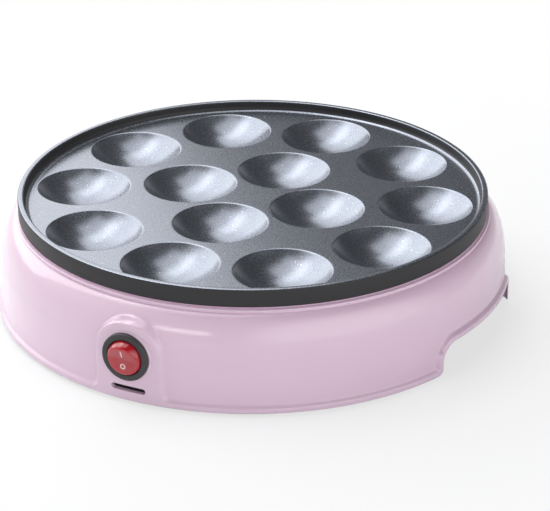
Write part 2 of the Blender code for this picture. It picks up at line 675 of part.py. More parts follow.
def bottom_cover():
    """Dished cover with a hand pocket behind each hand opening, screw seats, feet holes and vents."""
    cover = turned("bottom_cover", [
        (0, COVER_FLOOR),
        (COVER_RADIUS - COVER_THICKNESS, COVER_FLOOR),
        (COVER_RADIUS - COVER_THICKNESS, COVER_TOP),
        (COVER_RADIUS, COVER_TOP),
        (COVER_RADIUS, COVER_STAND + BEAD_ROUND),
        (COVER_RADIUS - BEAD_ROUND, COVER_STAND),
        (0, COVER_STAND),
    ], BLACK, BODY_STEPS)
    far = 2 * BEAD_RADIUS
    for side, name in ((1, "right"), (-1, "left")):
        turn = Matrix.Rotation(0 if side > 0 else pi, 4, "Z")
        wall = POCKET_HALF_WIDTH + COVER_THICKNESS
        block = prism(f"pocket_block_{name}", round_corners(
            (POCKET_START - COVER_THICKNESS, -wall), (far, wall), POCKET_CORNER + COVER_THICKNESS
        ), COVER_STAND + BITE, POCKET_ROOF + COVER_THICKNESS, place=turn)
        keep(block, rod(f"pocket_limit_{name}", COVER_RADIUS - BITE, COVER_STAND - OVERRUN,
                        POCKET_ROOF + OVERRUN, steps=BODY_STEPS))
        join(cover, block)
        cut(cover, prism(f"pocket_{name}", round_corners(
            (POCKET_START, -POCKET_HALF_WIDTH), (far, POCKET_HALF_WIDTH), POCKET_CORNER
        ), COVER_STAND - OVERRUN, POCKET_ROOF, place=turn))
    for x, y in tie_places():
        join(cover, rod("tie_seat", SEAT_RADIUS, COVER_STAND + BITE, TIE_SEAT, steps=BULGE_STEPS,
                        place=at(x, y)))
    for x, y in post_places():
        join(cover, rod("clamp_post", CLAMP_POST_RADIUS, COVER_STAND + BITE, post_top(), place=at(x, y)))
    for x, y in tie_places():
        cut(cover, rod("tie_head_recess", TIE_HEAD_RADIUS + SCREW_PLAY, COVER_STAND - OVERRUN,
                       TIE_HEAD_SEAT, place=at(x, y)))
        cut(cover, rod("tie_hole", TIE_SCREW_RADIUS + SCREW_PLAY, COVER_STAND, TIE_SEAT + OVERRUN,
                       place=at(x, y)))
    for x, y in post_places():
        cut(cover, rod("post_hole", SMALL_SCREW_RADIUS + SCREW_PLAY, COVER_FLOOR + BITE,
                       post_top() + OVERRUN, place=at(x, y)))
    for x, y in foot_places():
        cut(cover, rod("foot_hole", FOOT_NECK_RADIUS + SCREW_PLAY, COVER_STAND - OVERRUN,
                       COVER_FLOOR + OVERRUN, place=at(x, y)))
    for i in range(VENTS):
        turn = Matrix.Rotation(2 * pi * (i + 0.5) / VENTS, 4, "Z")
        middle = VENT_INNER_RADIUS + VENT_LENGTH / 2
        cut(cover, prism(f"cover_vent_{i}", stadium(VENT_LENGTH, VENT_WIDTH), COVER_STAND - OVERRUN,
                         COVER_FLOOR + OVERRUN, place=turn @ at(middle, 0)))


def post_places():
    y = HOUSING_RADIUS - CLAMP_POST_INSET
    return [(-CLAMP_POST_SPREAD, y), (CLAMP_POST_SPREAD, y)]


def post_top():
    return COVER_FLOOR + CLAMP_POST_HEIGHT


def foot_places():
    x, y = polar(FOOT_RING, FOOT_ANGLE)
    return [(sx * x, sy * y) for sx, sy in QUARTERS]


def feet():
    """Rubber feet, pushed through the cover and held by their beads."""
    names = ("foot_rear_right", "foot_rear_left", "foot_front_left", "foot_front_right")
    bead = COVER_FLOOR + SEAT_GAP
    for name, (x, y) in zip(names, foot_places()):
        turned(name, [
            (0, bead + COVER_THICKNESS),
            (FOOT_NECK_RADIUS / 2, bead + COVER_THICKNESS),
            (FOOT_BEAD_RADIUS, bead),
            (FOOT_NECK_RADIUS, bead),
            (FOOT_NECK_RADIUS, COVER_STAND - SEAT_GAP),
            (FOOT_RADIUS, COVER_STAND - SEAT_GAP),
            (FOOT_RADIUS - BEAD_ROUND, 0),
            (0, 0),
        ], RUBBER, BULGE_STEPS, at(x, y))


def tie_hardware():
    """Long screws pull the cover and the plate together over steel spacers."""
    names = ("rear_right", "rear_left", "front_left", "front_right")
    for name, (x, y) in zip(names, tie_places()):
        place = at(x, y)
        inner = TIE_SCREW_RADIUS + SCREW_PLAY
        turned(f"spacer_tube_{name}", [
            (inner, SHIELD_BOTTOM - SEAT_GAP), (SPACER_RADIUS, SHIELD_BOTTOM - SEAT_GAP),
            (SPACER_RADIUS, TIE_SEAT + SEAT_GAP), (inner, TIE_SEAT + SEAT_GAP),
        ], STEEL, SMALL_STEPS, place)
        head = TIE_HEAD_SEAT - SEAT_GAP
        screw(f"tie_screw_{name}", TIE_HEAD_RADIUS, TIE_HEAD_HEIGHT, TIE_SCREW_RADIUS,
              tie_tip() - head, place @ at(0, 0, head))


def heat_shield():
    """Pressed tray under the moulds that keeps the heat off the switch and the cover."""
    edge = PLATE_RADIUS - SHIELD_EDGE_DISTANCE
    opening = THERMOSTAT_RADIUS + SHIELD_DROP
    rim = SHIELD_TOP + SHIELD_RIM_HEIGHT
    flat = edge - SHIELD_RIM_FLARE
    shield = turned("heat_shield", [
        (opening, SHIELD_TOP), (flat, SHIELD_TOP), (edge - SHIELD_THICKNESS, rim), (edge, rim),
        (flat + SHIELD_THICKNESS, SHIELD_BOTTOM), (opening, SHIELD_BOTTOM),
    ], SHIELD, BODY_STEPS)
    for x, y in tie_places():
        cut(shield, rod("shield_tie_hole", TIE_SCREW_RADIUS + SCREW_PLAY, SHIELD_BOTTOM - OVERRUN,
                        SHIELD_TOP + OVERRUN, place=at(x, y)))
    for side in (-1, 1):
        x, y = element_end(side)
        cut(shield, rod("shield_element_hole", 2 * ELEMENT_RADIUS, SHIELD_BOTTOM - OVERRUN,
                        SHIELD_TOP + OVERRUN, place=at(x, y)))
    x, y = fuse_screw_place()
    cut(shield, rod("shield_clip_hole", SMALL_SCREW_RADIUS + SCREW_PLAY, SHIELD_BOTTOM - OVERRUN,
                    SHIELD_TOP + OVERRUN, place=at(x, y)))


def element_end(side):
    """Where the element's tail goes down, left (-1) or right (1) of the front."""
    return polar(ELEMENT_RING, -pi / 2 + side * ELEMENT_GAP_ANGLE)


def heating_element():
    """Sheathed ring between the inner and outer moulds, both ends bent down through the shield."""
    start = -pi / 2 + ELEMENT_GAP_ANGLE
    sweep = 2 * pi - 2 * ELEMENT_GAP_ANGLE
    bend_angle = ELEMENT_BEND_RADIUS / ELEMENT_RING
    low = ELEMENT_HEIGHT - ELEMENT_TAIL

    def tail(side):
        angle = -pi / 2 + side * ELEMENT_GAP_ANGLE
        points = [(*polar(ELEMENT_RING, angle), low)]
        for i in range(STRAP_STEPS - 1):
            turn = pi / 2 * i / (STRAP_STEPS - 2)
            points.append((*polar(ELEMENT_RING, angle + side * bend_angle * (1 - cos(turn))),
                           ELEMENT_HEIGHT - ELEMENT_BEND_RADIUS * (1 - sin(turn))))
        return points

    ring = []
    for i in range(ELEMENT_POINTS + 1):
        angle = start + bend_angle + (sweep - 2 * bend_angle) * i / ELEMENT_POINTS
        ring.append((*polar(ELEMENT_RING, angle), ELEMENT_HEIGHT))
    tube("heating_element", tail(1) + ring[1:-1] + tail(-1)[::-1], ELEMENT_RADIUS, SHEATH)
    for side, name in ((-1, "left"), (1, "right")):
        x, y = element_end(side)
        rod(f"element_terminal_{name}", TERMINAL_RADIUS, low - SEAT_GAP - TERMINAL_LENGTH,
            low - SEAT_GAP, BRASS, place=at(x, y))


def element_clamps():
    """Bent straps that press the element against the plate, each held by one screw."""
    names = ("rear_right", "rear_left", "front_left", "front_right")
    reach = ELEMENT_RADIUS + CLAMP_CLEARANCE
    seat = clamp_seat()
    outside = reach + CLAMP_THICKNESS
    centre = ELEMENT_RING
    inner_end = CLAMP_RING - CLAMP_BOSS_RADIUS
    under = [(inner_end, seat - CLAMP_THICKNESS), (centre - outside, seat - CLAMP_THICKNESS)]
    outer_arc = arc((centre, ELEMENT_HEIGHT), outside, pi + CLAMP_THICKNESS / outside, 2 * pi, STRAP_STEPS)
    inner_arc = arc((centre, ELEMENT_HEIGHT), reach, 2 * pi, pi, STRAP_STEPS)
    outline = under[:1] + outer_arc + inner_arc[:-1] + [(centre - reach, seat), (inner_end, seat)]
    for i, (name, (x, y)) in enumerate(zip(names, clamp_places())):
        turn = Matrix.Rotation(pi / 4 + i * pi / 2, 4, "Z")
        upright = turn @ Matrix.Rotation(pi / 2, 4, "X")
        clamp = prism(f"element_clamp_{name}", outline, -CLAMP_WIDTH / 2, CLAMP_WIDTH / 2, STEEL, upright)
        cut(clamp, rod(f"clamp_hole_{name}", SMALL_SCREW_RADIUS + SCREW_PLAY, seat - OVERRUN,
                       seat + OVERRUN, place=at(x, y)))
        screw(f"clamp_screw_{name}", SMALL_HEAD_RADIUS, SMALL_HEAD_HEIGHT, SMALL_SCREW_RADIUS,
              SMALL_SCREW_LENGTH, at(x, y, seat - CLAMP_THICKNESS - SEAT_GAP))


def thermostat():
    """Snap-disc thermostat under the middle of the plate, held by a bridge with two screws."""
    top = PLATE_UNDERSIDE - THERMOSTAT_PAD_HEIGHT - SEAT_GAP
    shoulder = top - THERMOSTAT_CAP_HEIGHT
    bottom = shoulder - THERMOSTAT_BODY_HEIGHT
    turned("thermostat", [
        (0, top), (THERMOSTAT_RADIUS - BEAD_ROUND, top), (THERMOSTAT_RADIUS, top - BEAD_ROUND),
        (THERMOSTAT_RADIUS, shoulder), (THERMOSTAT_BODY_RADIUS, shoulder),
        (THERMOSTAT_BODY_RADIUS, bottom), (0, bottom),
    ], CERAMIC, BULGE_STEPS)
    for side, name in ((-1, "left"), (1, "right")):
        x = side * THERMOSTAT_TAB_SPREAD / 2
        box(f"thermostat_tab_{name}", (x - TAB_THICKNESS / 2, -TAB_WIDTH / 2, bottom - SEAT_GAP - TAB_LENGTH),
            (x + TAB_THICKNESS / 2, TAB_WIDTH / 2, bottom - SEAT_GAP), BRASS)
    return bottom


def thermal_fuse():
    """One-shot fuse in a glass-fibre sleeve, held under the shield by a clip and a screw."""
    x, y = fuse_place()
    height = SHIELD_BOTTOM - SEAT_GAP - FUSE_CLIP_THICKNESS - FUSE_RADIUS - CLAMP_CLEARANCE
    lengthwise = at(x, y, height) @ Matrix.Rotation(pi / 2, 4, "X")
    rod("thermal_fuse", FUSE_RADIUS, -FUSE_LENGTH / 2, FUSE_LENGTH / 2, SLEEVE, SMALL_STEPS, lengthwise)
    reach = FUSE_RADIUS + CLAMP_CLEARANCE
    outside = reach + FUSE_CLIP_THICKNESS
    seat = SHIELD_BOTTOM - SEAT_GAP - height
    screw_x = fuse_screw_place()[0] - x
    ear = screw_x + SMALL_HEAD_RADIUS + SCREW_PLAY
    outline = ([(ear, seat - FUSE_CLIP_THICKNESS), (ear, seat), (-outside, seat)]
               + arc((0, 0), outside, pi, 2 * pi, STRAP_STEPS)
               + [(outside, seat - FUSE_CLIP_THICKNESS)])
    clip = prism("fuse_clip", outline, -FUSE_CLIP_WIDTH / 2, FUSE_CLIP_WIDTH / 2, STEEL, lengthwise)
    cut(clip, rod("fuse_room", reach, -FUSE_LENGTH, FUSE_LENGTH, place=lengthwise))
    cut(clip, rod("fuse_clip_hole", SMALL_SCREW_RADIUS + SCREW_PLAY, SHIELD_BOTTOM - OVERRUN,
                  SHIELD_TOP, place=at(x + screw_x, y)))
    screw("fuse_clip_screw", SMALL_HEAD_RADIUS, SMALL_HEAD_HEIGHT, SMALL_SCREW_RADIUS,
          SHIELD_THICKNESS + FUSE_CLIP_THICKNESS + 3 * SEAT_GAP,
          at(x + screw_x, y, SHIELD_BOTTOM - 2 * SEAT_GAP - FUSE_CLIP_THICKNESS))


def fuse_place():
    return ELEMENT_RING / 2, 0.0


def fuse_screw_place():
    x, y = fuse_place()
    return x + FUSE_RADIUS + FUSE_CLIP_THICKNESS + SMALL_HEAD_RADIUS + 2 * CLAMP_CLEARANCE, y


def switch():
    """Round rocker switch: bezel and barrel snap into the pad, the lit rocker tips in them."""
    front = FRONT @ at(0, SWITCH_HEIGHT)
    seat = PAD_FACE + SEAT_GAP
    face = seat + BEZEL_THICKNESS
    back = seat - BARREL_LENGTH
    inside = BARREL_RADIUS - BARREL_WALL
    body = turned("switch_body", [
        (ROCKER_OPENING_RADIUS, face), (BEZEL_RADIUS - BEZEL_ROUND, face),
        (BEZEL_RADIUS, face - BEZEL_ROUND), (BEZEL_RADIUS, seat), (BARREL_RADIUS, seat),
        (BARREL_RADIUS, back), (0, back), (0, back + BARREL_FLOOR),
        (inside, back + BARREL_FLOOR), (inside, face - BEZEL_THICKNESS / 2),
    ], BLACK, MOULD_STEPS, front)
    snap_root, snap_reach = BARREL_RADIUS - BARREL_WALL / 2, BARREL_RADIUS + SNAP_PROUD
    behind_wall = PAD_RADIUS - WALL - snap_reach * tan(pi / BODY_STEPS) - 2 * SEAT_GAP
    for turn in (0, pi):
        snap = box("snap_wing", (snap_root, -SNAP_WIDTH / 2, behind_wall - SNAP_LENGTH),
                   (snap_reach, SNAP_WIDTH / 2, behind_wall),
                   place=front @ Matrix.Rotation(turn, 4, "Z"))
        join(body, snap)
    axis = seat + BEZEL_THICKNESS - ROCKER_AXIS_DEPTH
    crosswise = front @ at(0, 0, axis) @ Matrix.Rotation(pi / 2, 4, "Y")
    cut(body, rod("pin_holes", ROCKER_PIN_RADIUS + SCREW_PLAY, -BARREL_RADIUS - BARREL_WALL / 2,
                  BARREL_RADIUS + BARREL_WALL / 2, place=crosswise))
    lamp(front, back)
    for i, name in enumerate(("lamp", "load", "line")):
        y = (i - 1) * SWITCH_TAB_PITCH
        box(f"switch_tab_{name}", (-TAB_WIDTH / 2, y - TAB_THICKNESS / 2, back - SEAT_GAP - TAB_LENGTH),
            (TAB_WIDTH / 2, y + TAB_THICKNESS / 2, back - SEAT_GAP), BRASS, front)
    rocker(front @ at(0, 0, axis))


def rocker(place):
    """Ball-sided rocker with a shallow V face. It rests tipped in at the bottom, which is off."""
    mesh = bpy.data.meshes.new("rocker")
    shape = bmesh.new()
    bmesh.ops.create_uvsphere(shape, u_segments=MOULD_STEPS, v_segments=MOULD_STEPS // 2,
                              radius=ROCKER_RADIUS, matrix=Matrix.Rotation(pi / 2, 4, "Y"))
    shape.to_mesh(mesh)
    shape.free()
    body = add("rocker", mesh, RED)
    body.matrix_world = place
    far = 2 * ROCKER_RADIUS
    for side, name in ((1, "upper"), (-1, "lower")):
        middle = Matrix.Rotation(ROCKER_TILT, 4, "X") @ at(0, 0, ROCKER_FACE)
        low, high = (0, far) if side > 0 else (-far, 0)
        half = box(f"rocker_face_{name}", (-far, low, 0), (far, high, far),
                   place=place @ middle @ Matrix.Rotation(side * ROCKER_TILT, 4, "X"))
        cut(body, half)
    cut(body, box("rocker_back", (-far, -far, -far), (far, far, -ROCKER_BACK), place=place))
    join(body, rod("rocker_pin", ROCKER_PIN_RADIUS, SEAT_GAP - BARREL_RADIUS, BARREL_RADIUS - SEAT_GAP,
                   place=place @ Matrix.Rotation(pi / 2, 4, "Y")))


def lamp(front, back):
    """Neon lamp behind the rocker."""
    low = back + BARREL_FLOOR + SEAT_GAP
    turned("switch_lamp", [(0, low + LAMP_LENGTH)]
           + arc((0, low + LAMP_LENGTH - LAMP_RADIUS), LAMP_RADIUS, pi / 2, 0)[1:]
           + [(LAMP_RADIUS, low), (0, low)], GLASS, SMALL_STEPS, front)


def cord_gland():
    """Bush in the rear wall that the mains lead passes through."""
    wall = HOUSING_RADIUS + WALL_DRAFT
    outer = wall + SEAT_GAP
    inner = HOUSING_RADIUS - WALL - GLAND_COLLAR_RADIUS ** 2 / (2 * HOUSING_RADIUS) - 2 * SEAT_GAP
    turned("cord_gland", [
        (GLAND_BORE, outer + GLAND_COLLAR + GLAND_NOSE),
        (GLAND_NOSE_RADIUS - BEAD_ROUND, outer + GLAND_COLLAR + GLAND_NOSE),
        (GLAND_NOSE_RADIUS, outer + GLAND_COLLAR),
        (GLAND_COLLAR_RADIUS - BEAD_ROUND, outer + GLAND_COLLAR),
        (GLAND_COLLAR_RADIUS, outer + GLAND_COLLAR - BEAD_ROUND),
        (GLAND_COLLAR_RADIUS, outer),
        (GLAND_NECK_RADIUS, outer),
        (GLAND_NECK_RADIUS, inner),
        (GLAND_COLLAR_RADIUS, inner),
        (GLAND_COLLAR_RADIUS, inner - GLAND_COLLAR),
        (GLAND_BORE, inner - GLAND_COLLAR),
    ], BLACK, MOULD_STEPS, REAR @ at(0, GLAND_HEIGHT))


def cord_clamp():
    """Saddle across the lead, on two posts of the cover."""
    seat = post_top() + SEAT_GAP
    reach = CLAMP_POST_SPREAD + CLAMP_POST_RADIUS
    hump = GLAND_BORE + CLAMP_CLEARANCE
    y = post_places()[0][1]
    top = seat + CORD_CLAMP_THICKNESS
    outline = ([(reach, seat), (reach, top)]
               + arc((0, top), hump + CORD_CLAMP_THICKNESS, 0, pi, STRAP_STEPS)
               + [(-reach, top), (-reach, seat)]
               + [(-hump, seat)] + arc((0, top), hump, pi, 0, STRAP_STEPS) + [(hump, seat)])
    clamp = prism("cord_clamp", outline, -y - CORD_CLAMP_WIDTH / 2, -y + CORD_CLAMP_WIDTH / 2, NATURAL,
                  Matrix.Rotation(pi / 2, 4, "X"))
    for name, (x, _) in zip(("left", "right"), post_places()):
        cut(clamp, rod(f"cord_clamp_hole_{name}", SMALL_SCREW_RADIUS + SCREW_PLAY, seat - OVERRUN,
                       top + OVERRUN, place=at(x, y)))
        down = at(x, y, top + SEAT_GAP) @ Matrix.Rotation(pi, 4, "X")
        screw(f"cord_clamp_screw_{name}", SMALL_HEAD_RADIUS, SMALL_HEAD_HEIGHT, SMALL_SCREW_RADIUS,
              CORD_CLAMP_THICKNESS + SMALL_SCREW_LENGTH, down)


def block_y():
    return HOUSING_RADIUS - BLOCK_INSET


def way_x(i):
    return (i - (BLOCK_WAYS - 1) / 2) * BLOCK_LENGTH / BLOCK_WAYS


def terminal_block():
    """Three-way block on the cover's floor where the lead's cores meet the inner wires."""
    y = block_y()
    low = COVER_FLOOR + SEAT_GAP
    outline = round_corners((-BLOCK_LENGTH / 2, -BLOCK_WIDTH / 2), (BLOCK_LENGTH / 2, BLOCK_WIDTH / 2),
                            BLOCK_EDGE_ROUND)
    block = prism("terminal_block", outline, low, low + BLOCK_HEIGHT, NATURAL, at(0, y))
    for i in range(BLOCK_WAYS):
        cut(block, rod(f"block_way_{i}", BLOCK_HOLE_RADIUS, -BLOCK_WIDTH, BLOCK_WIDTH,
                       place=at(way_x(i), y, low + BLOCK_HEIGHT / 2) @ Matrix.Rotation(pi / 2, 4, "X")))


def wires(thermostat_bottom):
    """Inner wires, clear of the hot parts: they run between the shield and the cover."""
    straight = 4 * WIRE_RADIUS
    tab_y = BARREL_LENGTH + TAB_LENGTH + 2 * SEAT_GAP - PAD_FACE
    upper_tab, lower_tab = SWITCH_HEIGHT + SWITCH_TAB_PITCH, SWITCH_HEIGHT - SWITCH_TAB_PITCH
    block_face = block_y() - BLOCK_WIDTH / 2 - SEAT_GAP
    way = COVER_FLOOR + SEAT_GAP + BLOCK_HEIGHT / 2
    tab_x = THERMOSTAT_TAB_SPREAD / 2
    tab_low = thermostat_bottom - 2 * SEAT_GAP - TAB_LENGTH
    end_x, end_y = element_end(1)
    pin_low = ELEMENT_HEIGHT - ELEMENT_TAIL - 2 * SEAT_GAP - TERMINAL_LENGTH
    lane = BLOCK_LENGTH / 2 + straight
    run = way + straight

    def from_switch(height):
        return [(0, tab_y, height), (0, tab_y + straight, height), (0, tab_y + 2 * straight, height)]

    def to_block(x):
        return [(x, block_face - 2 * straight, way), (x, block_face - straight, way), (x, block_face, way)]

    def down(x, y, top):
        return [(x, y, top), (x, y, top - straight), (x, y, top - 2 * straight)]

    routes = (
        ("wire_block_to_switch", BROWN,
         [*from_switch(upper_tab), (-lane, end_y, run), (-lane, 0, run), *to_block(way_x(0))]),
        ("wire_switch_to_block", BLUE,
         [*from_switch(lower_tab), (lane, end_y, run), (lane, 0, run), *to_block(way_x(2))]),
        ("wire_switch_to_thermostat", BROWN,
         [*from_switch(SWITCH_HEIGHT), (-tab_x, end_y / 2, run), *down(-tab_x, 0, tab_low)[::-1]]),
        ("wire_thermostat_to_element", BROWN,
         [*down(tab_x, 0, tab_low), (end_x, end_y / 2, run), *down(end_x, end_y, pin_low)[::-1]]),
    )
    for name, colour, knots in routes:
        tube(name, smooth_path(knots, WIRE_STEP), WIRE_RADIUS, colour)


baking_plate()
housing()
bottom_cover()
feet()
tie_hardware()
heat_shield()
heating_element()
element_clamps()
BOTTOM = thermostat()
thermal_fuse()
switch()
cord_gland()
cord_clamp()
terminal_block()
wires(BOTTOM)
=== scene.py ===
"""The mini pancake maker, dressed for its photograph: camera, floor and light first, then the
maker piece by piece as it is put together, from the lacquered housing to the wires inside."""
import json
from math import acos, cos, pi, radians, sin, sqrt, tan

import bmesh
import bpy
import numpy as np
from mathutils import Matrix, Vector
from mathutils.geometry import delaunay_2d_cdt


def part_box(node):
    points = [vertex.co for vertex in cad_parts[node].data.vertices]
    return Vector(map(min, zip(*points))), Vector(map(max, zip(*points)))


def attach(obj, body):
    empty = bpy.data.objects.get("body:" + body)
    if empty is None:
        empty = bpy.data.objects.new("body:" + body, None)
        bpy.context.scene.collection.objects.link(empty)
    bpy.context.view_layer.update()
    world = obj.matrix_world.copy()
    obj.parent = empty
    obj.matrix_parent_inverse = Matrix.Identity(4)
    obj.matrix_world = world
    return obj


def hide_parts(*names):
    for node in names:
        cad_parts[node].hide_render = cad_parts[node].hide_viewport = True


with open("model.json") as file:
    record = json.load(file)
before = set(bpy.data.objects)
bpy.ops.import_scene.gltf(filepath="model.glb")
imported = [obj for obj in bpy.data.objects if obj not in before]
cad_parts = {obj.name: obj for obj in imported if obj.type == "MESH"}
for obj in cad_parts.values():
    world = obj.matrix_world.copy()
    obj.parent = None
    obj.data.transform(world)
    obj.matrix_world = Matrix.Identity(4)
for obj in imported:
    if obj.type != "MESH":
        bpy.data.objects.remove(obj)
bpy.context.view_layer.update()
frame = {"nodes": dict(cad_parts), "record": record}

# Camera
# It stands in front of the maker, to the right of the switch, and looks down over the near rim.
# A long lens keeps the round plate almost undistorted.
CAMERA_PLACE = Vector((0.43667, -0.86051, 0.48252))
CAMERA_AIM = Vector((0.01092, 0.00170, 0.02111))
CAMERA_LENS = 143.1
CAMERA_ROLL = radians(-0.185)

camera_data = bpy.data.cameras.new("camera")
camera_data.sensor_fit = "HORIZONTAL"
camera_data.sensor_width = 36.0
camera_data.lens = CAMERA_LENS
camera_data.clip_end = 50.0
camera = bpy.data.objects.new("camera", camera_data)
camera.matrix_world = (
    Matrix.Translation(CAMERA_PLACE)
    @ (CAMERA_AIM - CAMERA_PLACE).to_track_quat("-Z", "Y").to_matrix().to_4x4()
    @ Matrix.Rotation(CAMERA_ROLL, 4, "Z")
)
bpy.context.scene.collection.objects.link(camera)
bpy.context.scene.camera = camera

# Floor
# A sheet of smooth white card lies under the maker and runs off to the white of the studio.
# It takes the maker's soft shadow.
FLOOR_COLOUR = (0.86, 0.87, 0.885)
FLOOR_SIZE = 6.0
FADE_START = 0.16
FADE_END = 0.38
SHADOW_LIFT = 0.68


def new_material(name):
    """An empty node material, its nodes and a call that joins two sockets."""
    material = bpy.data.materials.new(name)
    material.use_nodes = True
    tree = material.node_tree
    tree.nodes.clear()
    output = tree.nodes.new("ShaderNodeOutputMaterial")
    return material, tree.nodes, tree.links.new, output


floor_material, nodes, link, output = new_material("white_card")
card = nodes.new("ShaderNodeBsdfPrincipled")
card.inputs["Base Color"].default_value = (*FLOOR_COLOUR, 1.0)
card.inputs["Roughness"].default_value = 0.45
card.inputs["Specular IOR Level"].default_value = 0.25
studio = nodes.new("ShaderNodeEmission")
studio.inputs["Color"].default_value = (1.0, 1.0, 1.0, 1.0)
studio.inputs["Strength"].default_value = 1.0
place = nodes.new("ShaderNodeTexCoord")
length = nodes.new("ShaderNodeVectorMath")
length.operation = "LENGTH"
fade = nodes.new("ShaderNodeMapRange")
fade.interpolation_type = "SMOOTHSTEP"
fade.inputs["From Min"].default_value = FADE_START
fade.inputs["From Max"].default_value = FADE_END
blend = nodes.new("ShaderNodeMixShader")
sight = nodes.new("ShaderNodeLightPath")
lift = nodes.new("ShaderNodeMath")
lift.operation = "MULTIPLY"
lift.inputs[1].default_value = SHADOW_LIFT
lifted = nodes.new("ShaderNodeMixShader")
link(sight.outputs["Is Camera Ray"], lift.inputs[0])
link(lift.outputs["Value"], lifted.inputs["Fac"])
link(card.outputs["BSDF"], lifted.inputs[1])
link(studio.outputs["Emission"], lifted.inputs[2])
link(place.outputs["Object"], length.inputs[0])
link(length.outputs["Value"], fade.inputs["Value"])
link(fade.outputs["Result"], blend.inputs["Fac"])
link(lifted.outputs["Shader"], blend.inputs[1])
link(studio.outputs["Emission"], blend.inputs[2])
link(blend.outputs["Shader"], output.inputs["Surface"])

bpy.ops.mesh.primitive_plane_add(size=FLOOR_SIZE)
floor = bpy.context.object
floor.name = "floor"
floor.data.materials.append(floor_material)

# Light
# A softbox on the left and one overhead light the maker, and a strip lamp in front draws the glint
# along the shoulder. The studio is pale near the floor and dim above, with a wide wall of light on
# the left and a bright panel on the right.
LAMPS = (
    ("left_softbox", (-0.58, 0.218, 0.55), (1.11, 1.0), 7.2),
    ("overhead_softbox", (-0.20, 0.06, 0.95), (0.75, 0.75), 2.9),
    ("front_strip", (-0.045, -1.0, 0.28), (0.40, 0.12), 0.7),
)
WALL_OF_LIGHT = 0.9
STUDIO_LOW = 0.50
STUDIO_HIGH = 0.05
LOW_REACH = (0.10, 0.45)
WALL_SIDES = ((radians(-125), 0.05, 0.35), (radians(-60), -0.1, 0.2))
RIGHT_GLOW = 1.9
RIGHT_SIDE = ((0.92, -0.38, 0.10), 0.57, 0.94)

for name, place, size, power in LAMPS:
    lamp = bpy.data.lights.new(name, "AREA")
    lamp.shape = "RECTANGLE"
    lamp.size, lamp.size_y = size
    lamp.energy = power
    softbox = bpy.data.objects.new(name, lamp)
    softbox.location = place
    softbox.rotation_euler = (-Vector(place)).to_track_quat("-Z", "Y").to_euler()
    bpy.context.scene.collection.objects.link(softbox)

world = bpy.data.worlds.new("studio")
world.use_nodes = True
bpy.context.scene.world = world
sky = world.node_tree
sky.nodes.clear()


def glow(strength):
    """A plain white background of this strength."""
    node = sky.nodes.new("ShaderNodeBackground")
    node.inputs["Color"].default_value = (1.0, 1.0, 1.0, 1.0)
    node.inputs["Strength"].default_value = strength
    return node.outputs["Background"]


def mixed(share, first, second):
    """A background that turns from the first into the second as share rises."""
    node = sky.nodes.new("ShaderNodeMixShader")
    for socket, plug in zip(node.inputs, (share, first, second)):
        sky.links.new(plug, socket)
    return node.outputs["Shader"]


def towards(direction, start, end):
    """Share that rises from 0 to 1 as a ray turns towards this direction."""
    turn = sky.nodes.new("ShaderNodeVectorMath")
    turn.operation = "DOT_PRODUCT"
    turn.inputs[1].default_value = direction
    sky.links.new(ray.outputs["Generated"], turn.inputs[0])
    step = sky.nodes.new("ShaderNodeMapRange")
    step.interpolation_type = "SMOOTHSTEP"
    step.inputs["From Min"].default_value = start
    step.inputs["From Max"].default_value = end
    sky.links.new(turn.outputs["Value"], step.inputs["Value"])
    return step.outputs["Result"]


ray = sky.nodes.new("ShaderNodeTexCoord")
light_path = sky.nodes.new("ShaderNodeLightPath")
studio_walls = mixed(towards((0.0, 0.0, 1.0), *LOW_REACH), glow(STUDIO_LOW), glow(STUDIO_HIGH))
shares = [towards((sin(turn), cos(turn), 0.0), start, end) for turn, start, end in WALL_SIDES]
both = sky.nodes.new("ShaderNodeMath")
both.operation = "MULTIPLY"
sky.links.new(shares[0], both.inputs[0])
sky.links.new(shares[1], both.inputs[1])
lit = mixed(both.outputs["Value"], studio_walls, glow(WALL_OF_LIGHT))
lit = mixed(towards(*RIGHT_SIDE), lit, glow(RIGHT_GLOW))
seen = mixed(light_path.outputs["Is Camera Ray"], lit, glow(1.0))
sky.links.new(seen, sky.nodes.new("ShaderNodeOutputWorld").inputs["Surface"])
bpy.context.scene.view_settings.view_transform = "Standard"

# Housing
# One injection-moulded shell of ABS, lacquered pale pink. A bead stiffens its lower edge and
# climbs over the two hand openings, and a raised arch at the front carries the switch.
HOUSING_LOW, HOUSING_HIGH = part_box("housing")
_, PLATE_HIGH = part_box("baking_plate")
PLATE_RADIUS = PLATE_HIGH.x
STAND = HOUSING_LOW.z
HOUSING_TOP = HOUSING_HIGH.z
WALL = 0.0022
BEAD_RADIUS = HOUSING_HIGH.x - 0.0001
BEAD_PROUD = 0.0013
BEAD_HEIGHT = 0.0030
WALL_FOOT_RADIUS = BEAD_RADIUS - BEAD_PROUD
WALL_RADIUS = WALL_FOOT_RADIUS - 0.0012
WALL_HEIGHT = 0.025
SHOULDER_REACH = 0.0106
SHOULDER_RISE = 0.020
LIP_RADIUS = PLATE_RADIUS + 0.0012
LIP_WIDTH = 0.0052
LIP_HEIGHT = 0.0019
LIP_ROUND = 0.0007
LIP_GROOVE = 0.0004
PAD_FACE = -HOUSING_LOW.y
GRIP_HALF_ANGLE = radians(19.2)
PAD_HALF_WIDTH = 0.0167
PAD_SOFTNESS = 0.0017
PAD_FLARE = 0.0040
LAND_MARGIN = 0.0004
SWITCH_LOW, SWITCH_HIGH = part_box("switch_body")
SWITCH_HEIGHT = (SWITCH_LOW.z + SWITCH_HIGH.z) / 2
BEZEL_RADIUS = SWITCH_HIGH.x
SWITCH_HOLE = BEZEL_RADIUS - 0.0013
SLOT_LENGTH = 0.0174
SLOT_WIDTH = 0.0028
SLOT_HEIGHT = 0.0075
SLOT_ROUND = 0.0005
